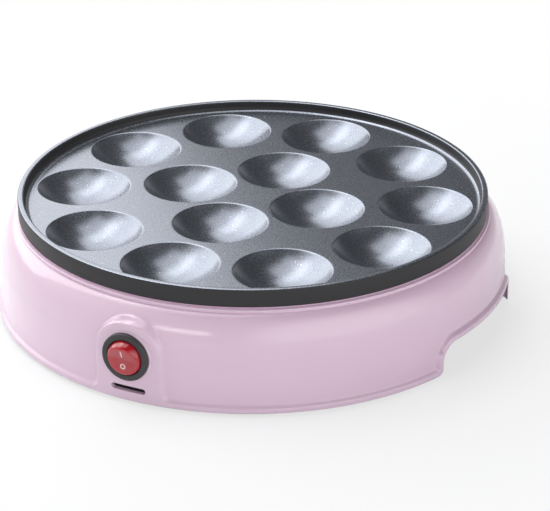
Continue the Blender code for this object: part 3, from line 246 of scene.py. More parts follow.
GLAND_LOW, GLAND_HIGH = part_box("cord_gland")
GLAND_HEIGHT = (GLAND_LOW.z + GLAND_HIGH.z) / 2
GLAND_RADIUS = GLAND_HIGH.x
GLAND_HOLE = GLAND_RADIUS - 0.0018
GRIP_HALF_WIDTH = WALL_FOOT_RADIUS * sin(GRIP_HALF_ANGLE)
GRIP_HEIGHT = 0.0145
GRIP_CORNER = 0.0085
GRIP_FOOT_ROUND = 0.0030
COLUMN_TOP = 0.0285
EDGE_SOFTNESS = 0.0006
EDGE_DROP = 0.0004
SHOULDER_STEPS = 60
EDGE_BAND = 0.0050
LOW_ROWS_TOP = 0.0195
MIDDLE_ROWS_FOOT = 0.0200
FINE_ROWS_TOP = 0.0420
EDGE_ROW = 0.00032
FINE_ROW = 0.0005
COARSE_ROW = 0.0012
COLUMN_SPREAD = 0.008
FRONT_SHARE = 0.5
FINE_STEP = 0.0004
COARSE_STEP = 0.0024


def arc(centre, radius, start, end, steps, squash=1.0):
    """Points along an arc, angles in radians. squash scales its height."""
    cx, cy = centre
    turns = [start + (end - start) * i / steps for i in range(steps + 1)]
    return [(cx + radius * cos(t), cy + squash * radius * sin(t)) for t in turns]


def along(points):
    """Distance run at each point of a line."""
    steps = np.linalg.norm(np.diff(points, axis=0), axis=1)
    return np.concatenate([[0.0], np.cumsum(steps)])


def wall_line():
    """Outer side of the wall as (radius, height), from the lower edge up and over the lip."""
    centre = WALL_RADIUS - SHOULDER_REACH
    shoulder = STAND + WALL_HEIGHT
    end = acos((LIP_RADIUS - centre) / SHOULDER_REACH)
    line = [(WALL_FOOT_RADIUS, STAND)]
    squash = SHOULDER_RISE / SHOULDER_REACH
    line += arc((centre, shoulder), SHOULDER_REACH, 0, end, SHOULDER_STEPS, squash)
    foot = line[-1][1]
    line += arc((LIP_RADIUS, foot + LIP_GROOVE), LIP_GROOVE, -pi / 2, -3 * pi / 2, 6)[1:]
    line += arc((LIP_RADIUS - LIP_ROUND + LIP_GROOVE / 2, HOUSING_TOP - LIP_ROUND), LIP_ROUND, 0, pi / 2, 5)
    inner = LIP_RADIUS - LIP_WIDTH
    line += arc((inner + LIP_ROUND, HOUSING_TOP - LIP_ROUND), LIP_ROUND, pi / 2, pi, 4)
    line += [(inner, HOUSING_TOP - LIP_HEIGHT - WALL)]
    return np.array(line)


def grip_edge():
    """Edge of a hand opening as (y, height), from the front to the rear."""
    half, top, low = GRIP_HALF_WIDTH, STAND + GRIP_HEIGHT, STAND
    foot, corner = GRIP_FOOT_ROUND, GRIP_CORNER
    front = arc((-half - foot, low + foot), foot, -pi / 2, 0, 8)
    front += arc((corner - half, top - corner), corner, pi, pi / 2, 14)
    return front + [(-y, z) for y, z in front[::-1]]


def fill_line(points, step):
    """The same line with points no further apart than step."""
    full = []
    for start, end in zip(points, points[1:]):
        count = max(1, int(np.ceil(np.linalg.norm(np.subtract(end, start)) / step)))
        full += [np.add(start, np.multiply(np.subtract(end, start), i / count)) for i in range(count)]
    return np.array(full + [np.array(points[-1])])


def lower_edge():
    """The housing's lower edge, once round from the rear, as (angle from the front, height)."""
    edge = fill_line(grip_edge(), 2 * FINE_STEP)
    turn = np.arccos(np.clip(-edge[:, 0] / WALL_FOOT_RADIUS, -1, 1))
    right = np.stack([turn, edge[:, 1]], 1)
    left = np.stack([-turn, edge[:, 1]], 1)[::-1]
    pad = PAD_HALF_WIDTH * 1.5 / WALL_FOOT_RADIUS

    def run(start, end, step):
        count = max(2, int(np.ceil(abs(end - start) * WALL_FOOT_RADIUS / step)))
        turns = start + (end - start) * np.arange(1, count) / count
        return np.stack([turns, np.full(count - 1, STAND)], 1)

    return np.concatenate([
        [[-pi, STAND]], run(-pi, left[0, 0], COARSE_STEP), left,
        run(left[-1, 0], -pad, COARSE_STEP), [[-pad, STAND]], run(-pad, pad, FINE_STEP), [[pad, STAND]],
        run(pad, right[0, 0], COARSE_STEP), right, run(right[-1, 0], pi, COARSE_STEP),
    ])


def smooth_step(value, low, high):
    """Share that rises smoothly from 0 at low to 1 at high."""
    share = np.clip((value - low) / (high - low), 0, 1)
    return share * share * (3 - 2 * share)


def soft_union(a, b, reach):
    """Least of two distances, with a fillet of about reach where they meet."""
    share = np.clip(0.5 + 0.5 * (b - a) / reach, 0, 1)
    return b + (a - b) * share - reach * share * (1 - share)


def distance_to(points, line):
    """Distance of each point to a closed line, in the flat."""
    start, end = line, np.roll(line, -1, axis=0)
    run = end - start
    square = np.maximum((run ** 2).sum(1), 1e-18)
    least = np.full(len(points), np.inf)
    for first, step, size in zip(start, run, square):
        share = np.clip(((points - first) @ step) / size, 0, 1)
        away = points - first - share[:, None] * step
        least = np.minimum(least, (away ** 2).sum(1))
    return np.sqrt(least)


def housing_skin():
    """The shell's outer side, as a grid of columns that rise from the lower edge to the lip."""
    line = wall_line()
    run = along(line)
    edge = lower_edge()
    flat = np.stack([edge[:, 0] * WALL_FOOT_RADIUS, edge[:, 1] - STAND], 1)
    loop = 2 * pi * WALL_FOOT_RADIUS
    gone = along(np.concatenate([flat, [flat[0] + [loop, 0]]]))
    weight = np.diff(gone) + 1e-9
    apart = gone[None, :-1] - gone[:-1, None]
    whole = gone[-1]
    apart = (apart + whole / 2) % whole - whole / 2
    kernel = np.exp(-0.5 * (apart / COLUMN_SPREAD) ** 2) * weight
    drift = flat[:, 0] - gone[:-1] / whole * loop
    head = (kernel @ drift) / kernel.sum(1) + gone[:-1] / whole * loop

    near = np.arange(0, EDGE_BAND, EDGE_ROW)
    low_rows = np.arange(near[-1] + COARSE_ROW, LOW_ROWS_TOP, COARSE_ROW)
    middle_rows = np.arange(MIDDLE_ROWS_FOOT, COLUMN_TOP, FINE_ROW)
    far_rows = np.concatenate([low_rows, middle_rows]) - near[-1]
    near_top = near[-1]
    columns = []
    for (x, z), top in zip(flat, head):
        rise = np.array([top - x, COLUMN_TOP - z])
        far = np.linalg.norm(rise)
        far_shares = near_top / far + (1 - near_top / far) * far_rows / (COLUMN_TOP - near_top)
        shares = np.concatenate([near / far, far_shares])
        columns.append(np.array([x, z]) + shares[:, None] * rise)
    lower = np.array(columns)
    fine_rows = int((FINE_ROWS_TOP - COLUMN_TOP) / FINE_ROW)
    rows_above = [COLUMN_TOP + FINE_ROW * i for i in range(fine_rows)]
    lip_start = run[SHOULDER_STEPS + 1]
    rows_above += list(np.linspace(rows_above[-1] + COARSE_ROW, lip_start, 5))
    rows_above += list(run[SHOULDER_STEPS + 2:])
    upper = np.stack(np.broadcast_arrays(head[:, None], np.array(rows_above)[None, :]), 2)
    grid = np.concatenate([lower, upper], 1)

    count, rows = grid.shape[:2]
    turn = grid[..., 0] / WALL_FOOT_RADIUS
    radius = np.interp(grid[..., 1], run, line[:, 0])
    height = np.interp(grid[..., 1], run, line[:, 1])
    close_rows = len(near) + 4
    close = grid[:, :close_rows].reshape(-1, 2)
    from_edge = np.full((count, rows), 1.0)
    from_edge[:, :close_rows] = distance_to(close, flat).reshape(count, -1)
    bead = from_edge - BEAD_HEIGHT

    x = radius * np.sin(turn)
    front = np.cos(turn) > FRONT_SHARE
    above = height - SWITCH_HEIGHT
    pad = np.where(above > 0, np.hypot(x, above), np.abs(x)) - PAD_HALF_WIDTH
    pad = np.where(front, pad, 1.0)
    raised = smooth_step(-soft_union(pad, bead, PAD_FLARE), -PAD_SOFTNESS / 2, PAD_SOFTNESS / 2)
    raised = np.where(height < HOUSING_TOP - LIP_HEIGHT - LIP_GROOVE, raised, 0.0)
    radius = radius + (BEAD_RADIUS - radius) * raised
    from_switch = np.where(front, np.hypot(x, above), 1.0)
    land = smooth_step(-from_switch, -BEZEL_RADIUS - LAND_MARGIN, -BEZEL_RADIUS)
    radius = radius + (PAD_FACE / np.maximum(np.cos(turn), FRONT_SHARE) - radius) * land
    edge_share = np.clip(1 - from_edge / EDGE_SOFTNESS, 0, 1)
    radius = radius - EDGE_DROP * edge_share ** 2

    points = np.stack([radius * np.sin(turn), -radius * np.cos(turn), height], 2)
    grid_faces = []
    for i in range(count):
        after = (i + 1) % count
        for k in range(rows - 1):
            middle = (points[i, k] + points[after, k + 1]) / 2
            if middle[1] < 0 and np.hypot(middle[0], middle[2] - SWITCH_HEIGHT) < SWITCH_HOLE:
                continue
            if middle[1] > 0 and np.hypot(middle[0], middle[2] - GLAND_HEIGHT) < GLAND_HOLE:
                continue
            grid_faces.append((i * rows + k, after * rows + k, after * rows + k + 1, i * rows + k + 1))
    mesh = bpy.data.meshes.new("housing_skin")
    mesh.from_pydata(points.reshape(-1, 3).tolist(), [], grid_faces)
    mesh.update()
    return mesh


def link_piece(name, mesh, material=None):
    """A piece of this mesh in the scene, with this material alone."""
    piece = bpy.data.objects.new(name, mesh)
    bpy.context.scene.collection.objects.link(piece)
    mesh.materials.clear()
    if material:
        mesh.materials.append(material)
    return piece


def settle(piece, crease=radians(40)):
    """The piece with its modifiers applied, smooth but for edges sharper than crease."""
    bpy.context.view_layer.update()
    shaped = piece.evaluated_get(bpy.context.evaluated_depsgraph_get())
    mesh = bpy.data.meshes.new_from_object(shaped)
    piece.modifiers.clear()
    old = piece.data
    piece.data = mesh
    bpy.data.meshes.remove(old)
    mesh.shade_smooth()
    mesh.set_sharp_from_angle(angle=crease)
    return piece


def turned(name, line, steps, material):
    """A line of (radius, height) turned round Z. It runs down its outer side, and may be closed."""
    mesh = bpy.data.meshes.new(name)
    count = len(line)
    edges = [(i, i + 1) for i in range(count - 1)]
    if not (line[0][0] == 0 and line[-1][0] == 0):
        edges.append((count - 1, 0))
    mesh.from_pydata([(r, 0, z) for r, z in line], edges, [])
    piece = link_piece(name, mesh, material)
    turn = piece.modifiers.new("turn", "SCREW")
    turn.steps = turn.render_steps = steps
    turn.use_merge_vertices = True
    turn.merge_threshold = 1e-6
    return piece


def cut_away(piece, cutter):
    """Cuts one piece with another, and throws the cutter away."""
    cut = piece.modifiers.new("cut", "BOOLEAN")
    cut.operation = "DIFFERENCE"
    cut.solver = "EXACT"
    cut.object = cutter
    settle(piece)
    bpy.data.objects.remove(cutter)
    return piece


def ring_stack(rings):
    """A closed mesh from rings of points, each as long as the next."""
    mesh = bpy.data.meshes.new("rings")
    count = len(rings[0])
    points = [tuple(p) for ring in rings for p in ring]
    faces = []
    for k in range(len(rings) - 1):
        for i in range(count):
            after = (i + 1) % count
            faces.append((k * count + i, k * count + after, (k + 1) * count + after, (k + 1) * count + i))
    faces.append(tuple(range(count))[::-1])
    start = (len(rings) - 1) * count
    faces.append(tuple(range(start, start + count)))
    mesh.from_pydata(points, [], faces)
    shape = bmesh.new()
    shape.from_mesh(mesh)
    bmesh.ops.recalc_face_normals(shape, faces=shape.faces)
    shape.to_mesh(mesh)
    shape.free()
    return mesh


def stadium(length, width, grow=0.0, steps=8):
    """Outline of a slot with round ends, as (x, z), grown by grow."""
    radius, reach = width / 2 + grow, (length - width) / 2
    return (arc((reach, 0), radius, -pi / 2, pi / 2, steps)
            + arc((-reach, 0), radius, pi / 2, 3 * pi / 2, steps))


def slot_cutter():
    """A slot's own shape with a flared mouth, which leaves the lip of the slot rounded."""
    rings = []
    for depth, grow in ((-0.010, 0.0), (-SLOT_ROUND, 0.0), (-SLOT_ROUND * 0.5, SLOT_ROUND * 0.14),
                        (-SLOT_ROUND * 0.15, SLOT_ROUND * 0.47), (0.0, SLOT_ROUND), (0.004, SLOT_ROUND)):
        rings.append([(x, -PAD_FACE - depth, SLOT_HEIGHT + z)
                      for x, z in stadium(SLOT_LENGTH, SLOT_WIDTH, grow)])
    return link_piece("slot_cutter", ring_stack(rings))


LACQUER_COLOUR = (0.735, 0.555, 0.685)
LACQUER_SHADE = (0.700, 0.515, 0.650)

lacquer, nodes, link, output = new_material("pink_lacquer")
gloss = nodes.new("ShaderNodeBsdfPrincipled")
gloss.inputs["Roughness"].default_value = 0.26
gloss.inputs["Coat Weight"].default_value = 0.75
gloss.inputs["Coat Roughness"].default_value = 0.12
place = nodes.new("ShaderNodeTexCoord")
drift = nodes.new("ShaderNodeTexNoise")
drift.inputs["Scale"].default_value = 9.0
drift.inputs["Detail"].default_value = 3.0
tint = nodes.new("ShaderNodeMix")
tint.data_type = "RGBA"
tint.inputs["A"].default_value = (*LACQUER_COLOUR, 1.0)
tint.inputs["B"].default_value = (*LACQUER_SHADE, 1.0)
peel = nodes.new("ShaderNodeTexNoise")
peel.inputs["Scale"].default_value = 650.0
peel.inputs["Detail"].default_value = 2.0
peel_bump = nodes.new("ShaderNodeBump")
peel_bump.inputs["Strength"].default_value = 0.035
peel_bump.inputs["Distance"].default_value = 0.0004
link(place.outputs["Object"], drift.inputs["Vector"])
link(place.outputs["Object"], peel.inputs["Vector"])
link(drift.outputs["Fac"], tint.inputs["Factor"])
link(tint.outputs["Result"], gloss.inputs["Base Color"])
link(peel.outputs["Fac"], peel_bump.inputs["Height"])
link(peel_bump.outputs["Normal"], gloss.inputs["Normal"])
link(gloss.outputs["BSDF"], output.inputs["Surface"])

housing = link_piece("housing_shell", housing_skin(), lacquer)
thicken = housing.modifiers.new("wall", "SOLIDIFY")
thicken.thickness = WALL
thicken.offset = -1.0
settle(housing)
cut_away(housing, slot_cutter())
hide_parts("housing")
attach(housing, "base")

# Baking plate
# Die-cast aluminium with a rim all round and fourteen dished moulds, machined on top and sprayed
# with a charcoal non-stick coating that holds fine pale grains. Its rim rests on the housing.
SEAT_GAP = 0.0003
RIM_TOP = PLATE_HIGH.z
PLATE_SEAT = HOUSING_TOP + SEAT_GAP
RIM_WIDTH = 0.0030
RIM_ROUND = 0.0009
WELL_DEPTH = 0.0053
WELL_FILLET = 0.0026
PLATE_THICKNESS = 0.0032
SKIRT_THICKNESS = 0.0042
MOULD_RADIUS = 0.0225
MOULD_DEPTH = 0.010
MOULD_EDGE = 0.0011
BULGE_WALL = 0.0024
BULGE_EDGE = 0.0002
INNER_MOULD_GAP = 0.0034
MOULD_RIM_GAP = 0.0016
OUTER_MOULDS = 10
INNER_MOULDS = 4
MOULD_STEPS = 72
RIM_STEPS = 240
FACING_DOWN = -0.2
BAKING_SURFACE = RIM_TOP - WELL_DEPTH
PLATE_UNDERSIDE = BAKING_SURFACE - PLATE_THICKNESS
WELL_RADIUS = PLATE_RADIUS - RIM_WIDTH
OUTER_RING = WELL_RADIUS - WELL_FILLET - MOULD_RIM_GAP - MOULD_RADIUS
INNER_RING = (2 * MOULD_RADIUS + INNER_MOULD_GAP) / (2 * sin(pi / INNER_MOULDS))
MOULD_SPHERE = (MOULD_RADIUS ** 2 + MOULD_DEPTH ** 2) / (2 * MOULD_DEPTH)


def mould_places():
    """Middles of the moulds as (x, y), the outer ring first, each from the switch round."""
    places = []
    for ring, count in ((OUTER_RING, OUTER_MOULDS), (INNER_RING, INNER_MOULDS)):
        turns = [-pi / 2 + 2 * pi * i / count for i in range(count)]
        places += [(ring * cos(t), ring * sin(t)) for t in turns]
    return places


def dish_line(sphere, depth, surface, edge):
    """(radius, height) from the flat land over a rounded edge and down a dish to its middle."""
    centre = sphere - depth
    lean = acos(centre / sphere)
    mouth = sphere * sin(lean)
    line = [(mouth + edge * tan(lean / 2) + edge / 2, surface)]
    line += [(mouth + edge * tan(lean / 2) - edge * sin(lean * i / 5),
              surface - edge * (1 - cos(lean * i / 5))) for i in range(6)]
    start = lean * 0.955
    line += [(sphere * sin(start * i / 14), surface + centre - sphere * cos(start * i / 14))
             for i in range(14, 0, -1)]
    return line


def plate_side(shape, line, pole, rim, down):
    """One side of the plate: flat land with a dish let into it at every mould."""
    outlines = [rim]
    for x, y in mould_places():
        before = None
        for r, z in line:
            turns = [2 * pi * i / MOULD_STEPS for i in range(MOULD_STEPS)]
            ring = [shape.verts.new((x + r * cos(t), y + r * sin(t), z)) for t in turns]
            if before is None:
                outlines.append(ring)
            else:
                for i in range(MOULD_STEPS):
                    face = (before[i - 1], before[i], ring[i], ring[i - 1])
                    shape.faces.new(face if down else face[::-1])
            before = ring
        middle = shape.verts.new((x, y, pole))
        for i in range(MOULD_STEPS):
            face = (before[i - 1], before[i], middle)
            shape.faces.new(face if down else face[::-1])
    corners, edges = [], []
    for outline in outlines:
        start, count = len(corners), len(outline)
        corners += outline
        edges += [(start + i, start + (i + 1) % count) for i in range(count)]
    flat = [Vector((v.co.x, v.co.y)) for v in corners]
    land = delaunay_2d_cdt(flat, edges, [], 1, 1e-7)[2]
    edge = line[0][0]
    for face in land:
        middle = sum((flat[i] for i in face), Vector((0, 0))) / 3
        if all((middle - Vector(place)).length > edge * 0.999 for place in mould_places()):
            points = [corners[i] for i in face]
            shape.faces.new(points if down else points[::-1])


def plate_mesh():
    """The whole casting: both sides and the rim between them."""
    skirt = PLATE_RADIUS - SKIRT_THICKNESS
    flat = WELL_RADIUS - WELL_FILLET
    line = [(flat - 0.0003, BAKING_SURFACE)]
    line += arc((flat, BAKING_SURFACE + WELL_FILLET), WELL_FILLET, -pi / 2, 0, 8)
    line += arc((WELL_RADIUS + RIM_ROUND, RIM_TOP - RIM_ROUND), RIM_ROUND, pi, pi / 2, 6)
    line += arc((PLATE_RADIUS - RIM_ROUND, RIM_TOP - RIM_ROUND), RIM_ROUND, pi / 2, 0, 6)
    line += arc((PLATE_RADIUS - RIM_ROUND, PLATE_SEAT + RIM_ROUND), RIM_ROUND, 0, -pi / 2, 6)
    line += [(skirt, PLATE_SEAT), (skirt, PLATE_UNDERSIDE)]
    shape = bmesh.new()
    first = before = None
    for r, z in line:
        ring = [shape.verts.new((r * cos(2 * pi * i / RIM_STEPS), r * sin(2 * pi * i / RIM_STEPS), z))
                for i in range(RIM_STEPS)]
        if before:
            for i in range(RIM_STEPS):
                shape.faces.new((before[i - 1], before[i], ring[i], ring[i - 1]))
        first = first or ring
        before = ring
    top = dish_line(MOULD_SPHERE, MOULD_DEPTH, BAKING_SURFACE, MOULD_EDGE)
    plate_side(shape, top, BAKING_SURFACE - MOULD_DEPTH, first, True)
    below = dish_line(MOULD_SPHERE + BULGE_WALL, MOULD_DEPTH, PLATE_UNDERSIDE, BULGE_EDGE)
    plate_side(shape, below, PLATE_UNDERSIDE - MOULD_DEPTH, before, False)
    bmesh.ops.remove_doubles(shape, verts=shape.verts, dist=1e-7)
    bmesh.ops.recalc_face_normals(shape, faces=shape.faces)
    mesh = bpy.data.meshes.new("plate")
    shape.to_mesh(mesh)
    shape.free()
    return mesh


def satin_plastic(name, colour, roughness, grain_scale=900.0, grain_depth=0.00008):
    """Moulded plastic or rubber with a fine grain and slightly uneven colour."""
    material, nodes, link, output = new_material(name)
    body = nodes.new("ShaderNodeBsdfPrincipled")
    body.inputs["Specular IOR Level"].default_value = 0.45
    place = nodes.new("ShaderNodeTexCoord")
    grain = nodes.new("ShaderNodeTexNoise")
    grain.inputs["Scale"].default_value = grain_scale
    grain.inputs["Detail"].default_value = 3.0
    tone = nodes.new("ShaderNodeMix")
    tone.data_type = "RGBA"
    tone.inputs["A"].default_value = (*[c * 0.88 for c in colour], 1.0)
    tone.inputs["B"].default_value = (*[min(1.0, c * 1.12) for c in colour], 1.0)
    uneven = nodes.new("ShaderNodeMapRange")
    uneven.inputs["To Min"].default_value = roughness - 0.05
    uneven.inputs["To Max"].default_value = roughness + 0.05
    bump = nodes.new("ShaderNodeBump")
    bump.inputs["Strength"].default_value = 0.3
    bump.inputs["Distance"].default_value = grain_depth
    link(place.outputs["Object"], grain.inputs["Vector"])
    link(grain.outputs["Fac"], tone.inputs["Factor"])
    link(tone.outputs["Result"], body.inputs["Base Color"])
    link(grain.outputs["Fac"], uneven.inputs["Value"])
    link(uneven.outputs["Result"], body.inputs["Roughness"])
    link(grain.outputs["Fac"], bump.inputs["Height"])
    link(bump.outputs["Normal"], body.inputs["Normal"])
    link(body.outputs["BSDF"], output.inputs["Surface"])
    return material


COATING_COLOUR = (0.220, 0.240, 0.285)
COATING_PALE = (0.310, 0.328, 0.370)
GRAIN_COLOUR = (0.60, 0.62, 0.66)

coating, nodes, link, output = new_material("non_stick_coating")
surface = nodes.new("ShaderNodeBsdfPrincipled")
surface.inputs["Metallic"].default_value = 0.85
surface.inputs["IOR"].default_value = 1.6
place = nodes.new("ShaderNodeTexCoord")
cloud = nodes.new("ShaderNodeTexNoise")
cloud.inputs["Scale"].default_value = 1700.0
cloud.inputs["Detail"].default_value = 3.0
base = nodes.new("ShaderNodeMix")
base.data_type = "RGBA"
base.inputs["A"].default_value = (*COATING_COLOUR, 1.0)
base.inputs["B"].default_value = (*COATING_PALE, 1.0)
base_share = nodes.new("ShaderNodeMapRange")
base_share.inputs["From Min"].default_value = 0.42
base_share.inputs["From Max"].default_value = 0.72
grains = nodes.new("ShaderNodeTexVoronoi")
grains.inputs["Scale"].default_value = 620.0
grain_share = nodes.new("ShaderNodeMapRange")
grain_share.inputs["From Min"].default_value = 0.20
grain_share.inputs["From Max"].default_value = 0.10
sparse = nodes.new("ShaderNodeMath")
sparse.operation = "GREATER_THAN"
sparse.inputs[1].default_value = 0.86
pick = nodes.new("ShaderNodeSeparateColor")
chosen = nodes.new("ShaderNodeMath")
chosen.operation = "MULTIPLY"
coloured = nodes.new("ShaderNodeMix")
coloured.data_type = "RGBA"
coloured.inputs["B"].default_value = (*GRAIN_COLOUR, 1.0)
rough = nodes.new("ShaderNodeMapRange")
rough.inputs["From Min"].default_value = 0.3
rough.inputs["From Max"].default_value = 0.7
rough.inputs["To Min"].default_value = 0.23
rough.inputs["To Max"].default_value = 0.31
grit = nodes.new("ShaderNodeBump")
grit.inputs["Strength"].default_value = 0.12
grit.inputs["Distance"].default_value = 0.0001
link(place.outputs["Object"], cloud.inputs["Vector"])
link(place.outputs["Object"], grains.inputs["Vector"])
link(cloud.outputs["Fac"], base_share.inputs["Value"])
link(base_share.outputs["Result"], base.inputs["Factor"])
link(grains.outputs["Distance"], grain_share.inputs["Value"])
link(grains.outputs["Color"], pick.inputs["Color"])
link(pick.outputs["Red"], sparse.inputs[0])
link(grain_share.outputs["Result"], chosen.inputs[0])
link(sparse.outputs["Value"], chosen.inputs[1])
link(base.outputs["Result"], coloured.inputs["A"])
link(chosen.outputs["Value"], coloured.inputs["Factor"])
link(coloured.outputs["Result"], surface.inputs["Base Color"])
link(cloud.outputs["Fac"], rough.inputs["Value"])
link(rough.outputs["Result"], surface.inputs["Roughness"])
link(cloud.outputs["Fac"], grit.inputs["Height"])
link(grit.outputs["Normal"], surface.inputs["Normal"])
link(surface.outputs["BSDF"], output.inputs["Surface"])

plate = link_piece("coated_plate", plate_mesh(), coating)
plate.data.materials.append(satin_plastic("black_paint", (0.018, 0.018, 0.020), 0.5, 900.0, 0.00012))
for face in plate.data.polygons:
    reach = Vector((face.center.x, face.center.y)).length
    outer_side = reach > PLATE_RADIUS - RIM_ROUND
    inner_side = WELL_RADIUS - WELL_FILLET / 3 < reach < WELL_RADIUS + RIM_ROUND / 2
    under_the_top = face.center.z < RIM_TOP - RIM_ROUND / 4
    if (outer_side or inner_side) and under_the_top or face.normal.z < FACING_DOWN:
        face.material_index = 1
plate.data.shade_smooth()
plate.data.set_sharp_from_angle(angle=radians(50))
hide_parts("baking_plate")
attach(plate, "base")

# Switch
# A round rocker switch snaps into the raised arch from the front: black nylon body, its bezel
# pressing on the pad.
SWITCH_FRONT = -SWITCH_LOW.y
SWITCH_BACK = -SWITCH_HIGH.y
PAD_SEAT = PAD_FACE + SEAT_GAP
BARREL_RADIUS = BEZEL_RADIUS - 0.0016
BARREL_WALL = 0.001
BARREL_FLOOR = 0.004
OPENING_RADIUS = 0.0085
OPENING_ROUND = 0.0006
BEZEL_ROUND = 0.0009

switch_black = satin_plastic("switch_nylon", (0.035, 0.034, 0.036), 0.36)
facing_front = Matrix(((1, 0, 0, 0), (0, 0, -1, 0), (0, 1, 0, 0), (0, 0, 0, 1)))

opening_edge = (OPENING_RADIUS + OPENING_ROUND, SWITCH_FRONT - OPENING_ROUND)
bezel_line = [(OPENING_RADIUS, SWITCH_FRONT - OPENING_ROUND)]
bezel_line += arc(opening_edge, OPENING_ROUND, pi, pi / 2, 5)
bezel_line += arc((BEZEL_RADIUS - BEZEL_ROUND, SWITCH_FRONT - BEZEL_ROUND), BEZEL_ROUND, pi / 2, 0, 8)
bezel_line += [(BEZEL_RADIUS, PAD_SEAT), (BARREL_RADIUS, PAD_SEAT), (BARREL_RADIUS, SWITCH_BACK),
               (0, SWITCH_BACK), (0, SWITCH_BACK + BARREL_FLOOR),
               (BARREL_RADIUS - BARREL_WALL, SWITCH_BACK + BARREL_FLOOR),
               (BARREL_RADIUS - BARREL_WALL, SWITCH_FRONT - 2 * OPENING_ROUND)]
bezel = turned("switch_shell", bezel_line, 96, switch_black)
bezel.matrix_world = Matrix.Translation((0, 0, SWITCH_HEIGHT)) @ facing_front
settle(bezel, radians(35))
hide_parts("switch_body")
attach(bezel, "base")

# Rocker
# Clear red polycarbonate over a small lamp. Its lower half is pressed in, which is off, and the
# two signs are printed pale on its face.
AXIS = Vector(frame["record"]["behaviour"]["joints"][0]["pos_m"])
ROCKER_BALL = 0.0086
ROCKER_TILT = radians(11)
ROCKER_FACE = 0.0036
ROCKER_BACK = 0.0035
ROCKER_SOFTNESS = 0.0009
CREASE_SOFTNESS = 0.0005
ROCKER_STEPS = 96
CAP_RINGS = 40
SIDE_RINGS = 6
SIGN_STROKE = 0.00055
SIGN_HEIGHT = 0.00006
ON_SIGN_LENGTH = 0.0040
ON_SIGN_PLACE = 0.0030
OFF_SIGN_RADIUS = 0.00135
OFF_SIGN_PLACE = -0.0036


def soft_least(a, b, reach):
    """Lesser of two numbers, rounded over where they meet."""
    share = max(0.0, min(1.0, 0.5 + 0.5 * (b - a) / reach))
    return b + (a - b) * share - reach * share * (1 - share)


def face_height(y):
    """Height of the rocker's face over its axis: two flats that meet in a shallow valley."""
    upper = ROCKER_FACE / cos(ROCKER_TILT) + y * tan(2 * ROCKER_TILT)
    lower = ROCKER_FACE / cos(ROCKER_TILT)
    return -soft_least(-upper, -lower, CREASE_SOFTNESS)


def rocker_mesh():
    """A ball cut off by the rocker's face, its back drawn in a little below the axis."""
    steps, rings = ROCKER_STEPS, []
    for k in range(1, CAP_RINGS + 1):
        lean = pi / 2 * k / CAP_RINGS
        r, cap = ROCKER_BALL * sin(lean), ROCKER_BALL * cos(lean)
        ring = []
        for i in range(steps):
            x, y = r * cos(2 * pi * i / steps), r * sin(2 * pi * i / steps)
            ring.append((x, y, soft_least(face_height(y), cap, ROCKER_SOFTNESS)))
        rings.append(ring)
    for k in range(1, SIDE_RINGS + 1):
        z = -ROCKER_BACK * k / SIDE_RINGS
        r = sqrt(ROCKER_BALL ** 2 - z ** 2)
        rings.append([(r * cos(2 * pi * i / steps), r * sin(2 * pi * i / steps), z) for i in range(steps)])
    return ring_stack(rings)


def red_plastic():
    """Clear red plastic with depth: light enters it and comes back through the thin parts."""
    material, nodes, link, output = new_material("red_polycarbonate")
    body = nodes.new("ShaderNodeBsdfPrincipled")
    body.inputs["Roughness"].default_value = 0.13
    body.inputs["Subsurface Weight"].default_value = 0.35
    body.inputs["Subsurface Radius"].default_value = (0.004, 0.0006, 0.0006)
    body.inputs["Subsurface Scale"].default_value = 1.0
    body.inputs["Coat Weight"].default_value = 0.6
    body.inputs["Coat Roughness"].default_value = 0.05
    place = nodes.new("ShaderNodeTexCoord")
    cloud = nodes.new("ShaderNodeTexNoise")
    cloud.inputs["Scale"].default_value = 260.0
    tone = nodes.new("ShaderNodeMix")
    tone.data_type = "RGBA"
    tone.inputs["A"].default_value = (0.34, 0.006, 0.016, 1.0)
    tone.inputs["B"].default_value = (0.46, 0.014, 0.026, 1.0)
    link(place.outputs["Object"], cloud.inputs["Vector"])
    link(cloud.outputs["Fac"], tone.inputs["Factor"])
    link(tone.outputs["Result"], body.inputs["Base Color"])
    link(body.outputs["BSDF"], output.inputs["Surface"])
    return material


rocker_frame = Matrix.Translation(AXIS) @ facing_front
rocker = link_piece("rocker_cap", rocker_mesh(), red_plastic())
rocker.matrix_world = rocker_frame
rocker.data.shade_smooth()
rocker.data.set_sharp_from_angle(angle=radians(50))
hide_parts("rocker")
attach(rocker, "rocker_part")

sign_ink = satin_plastic("sign_ink", (0.80, 0.62, 0.62), 0.5)


def sign(name, outline, hole, y_middle, rise):
    """A printed sign, as a thin raised outline on one half of the rocker's face."""
    curve = bpy.data.curves.new(name, "CURVE")
    curve.dimensions = "2D"
    curve.fill_mode = "BOTH"
    curve.extrude = SIGN_HEIGHT
    for points in (outline, hole):
        if points:
            spline = curve.splines.new("POLY")
            spline.points.add(len(points) - 1)
            for point, (x, y) in zip(spline.points, points):
                point.co = (x, y, 0, 1)
            spline.use_cyclic_u = True
    piece = bpy.data.objects.new(name, curve)
    bpy.context.scene.collection.objects.link(piece)
    mesh = bpy.data.meshes.new_from_object(
        piece.evaluated_get(bpy.context.evaluated_depsgraph_get()))
    bpy.data.objects.remove(piece)
    piece = link_piece(name, mesh, sign_ink)
    height = face_height(y_middle) + SIGN_HEIGHT / 2
    piece.matrix_world = (rocker_frame @ Matrix.Translation((0, y_middle, height))
                          @ Matrix.Rotation(rise, 4, "X"))
    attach(piece, "rocker_part")


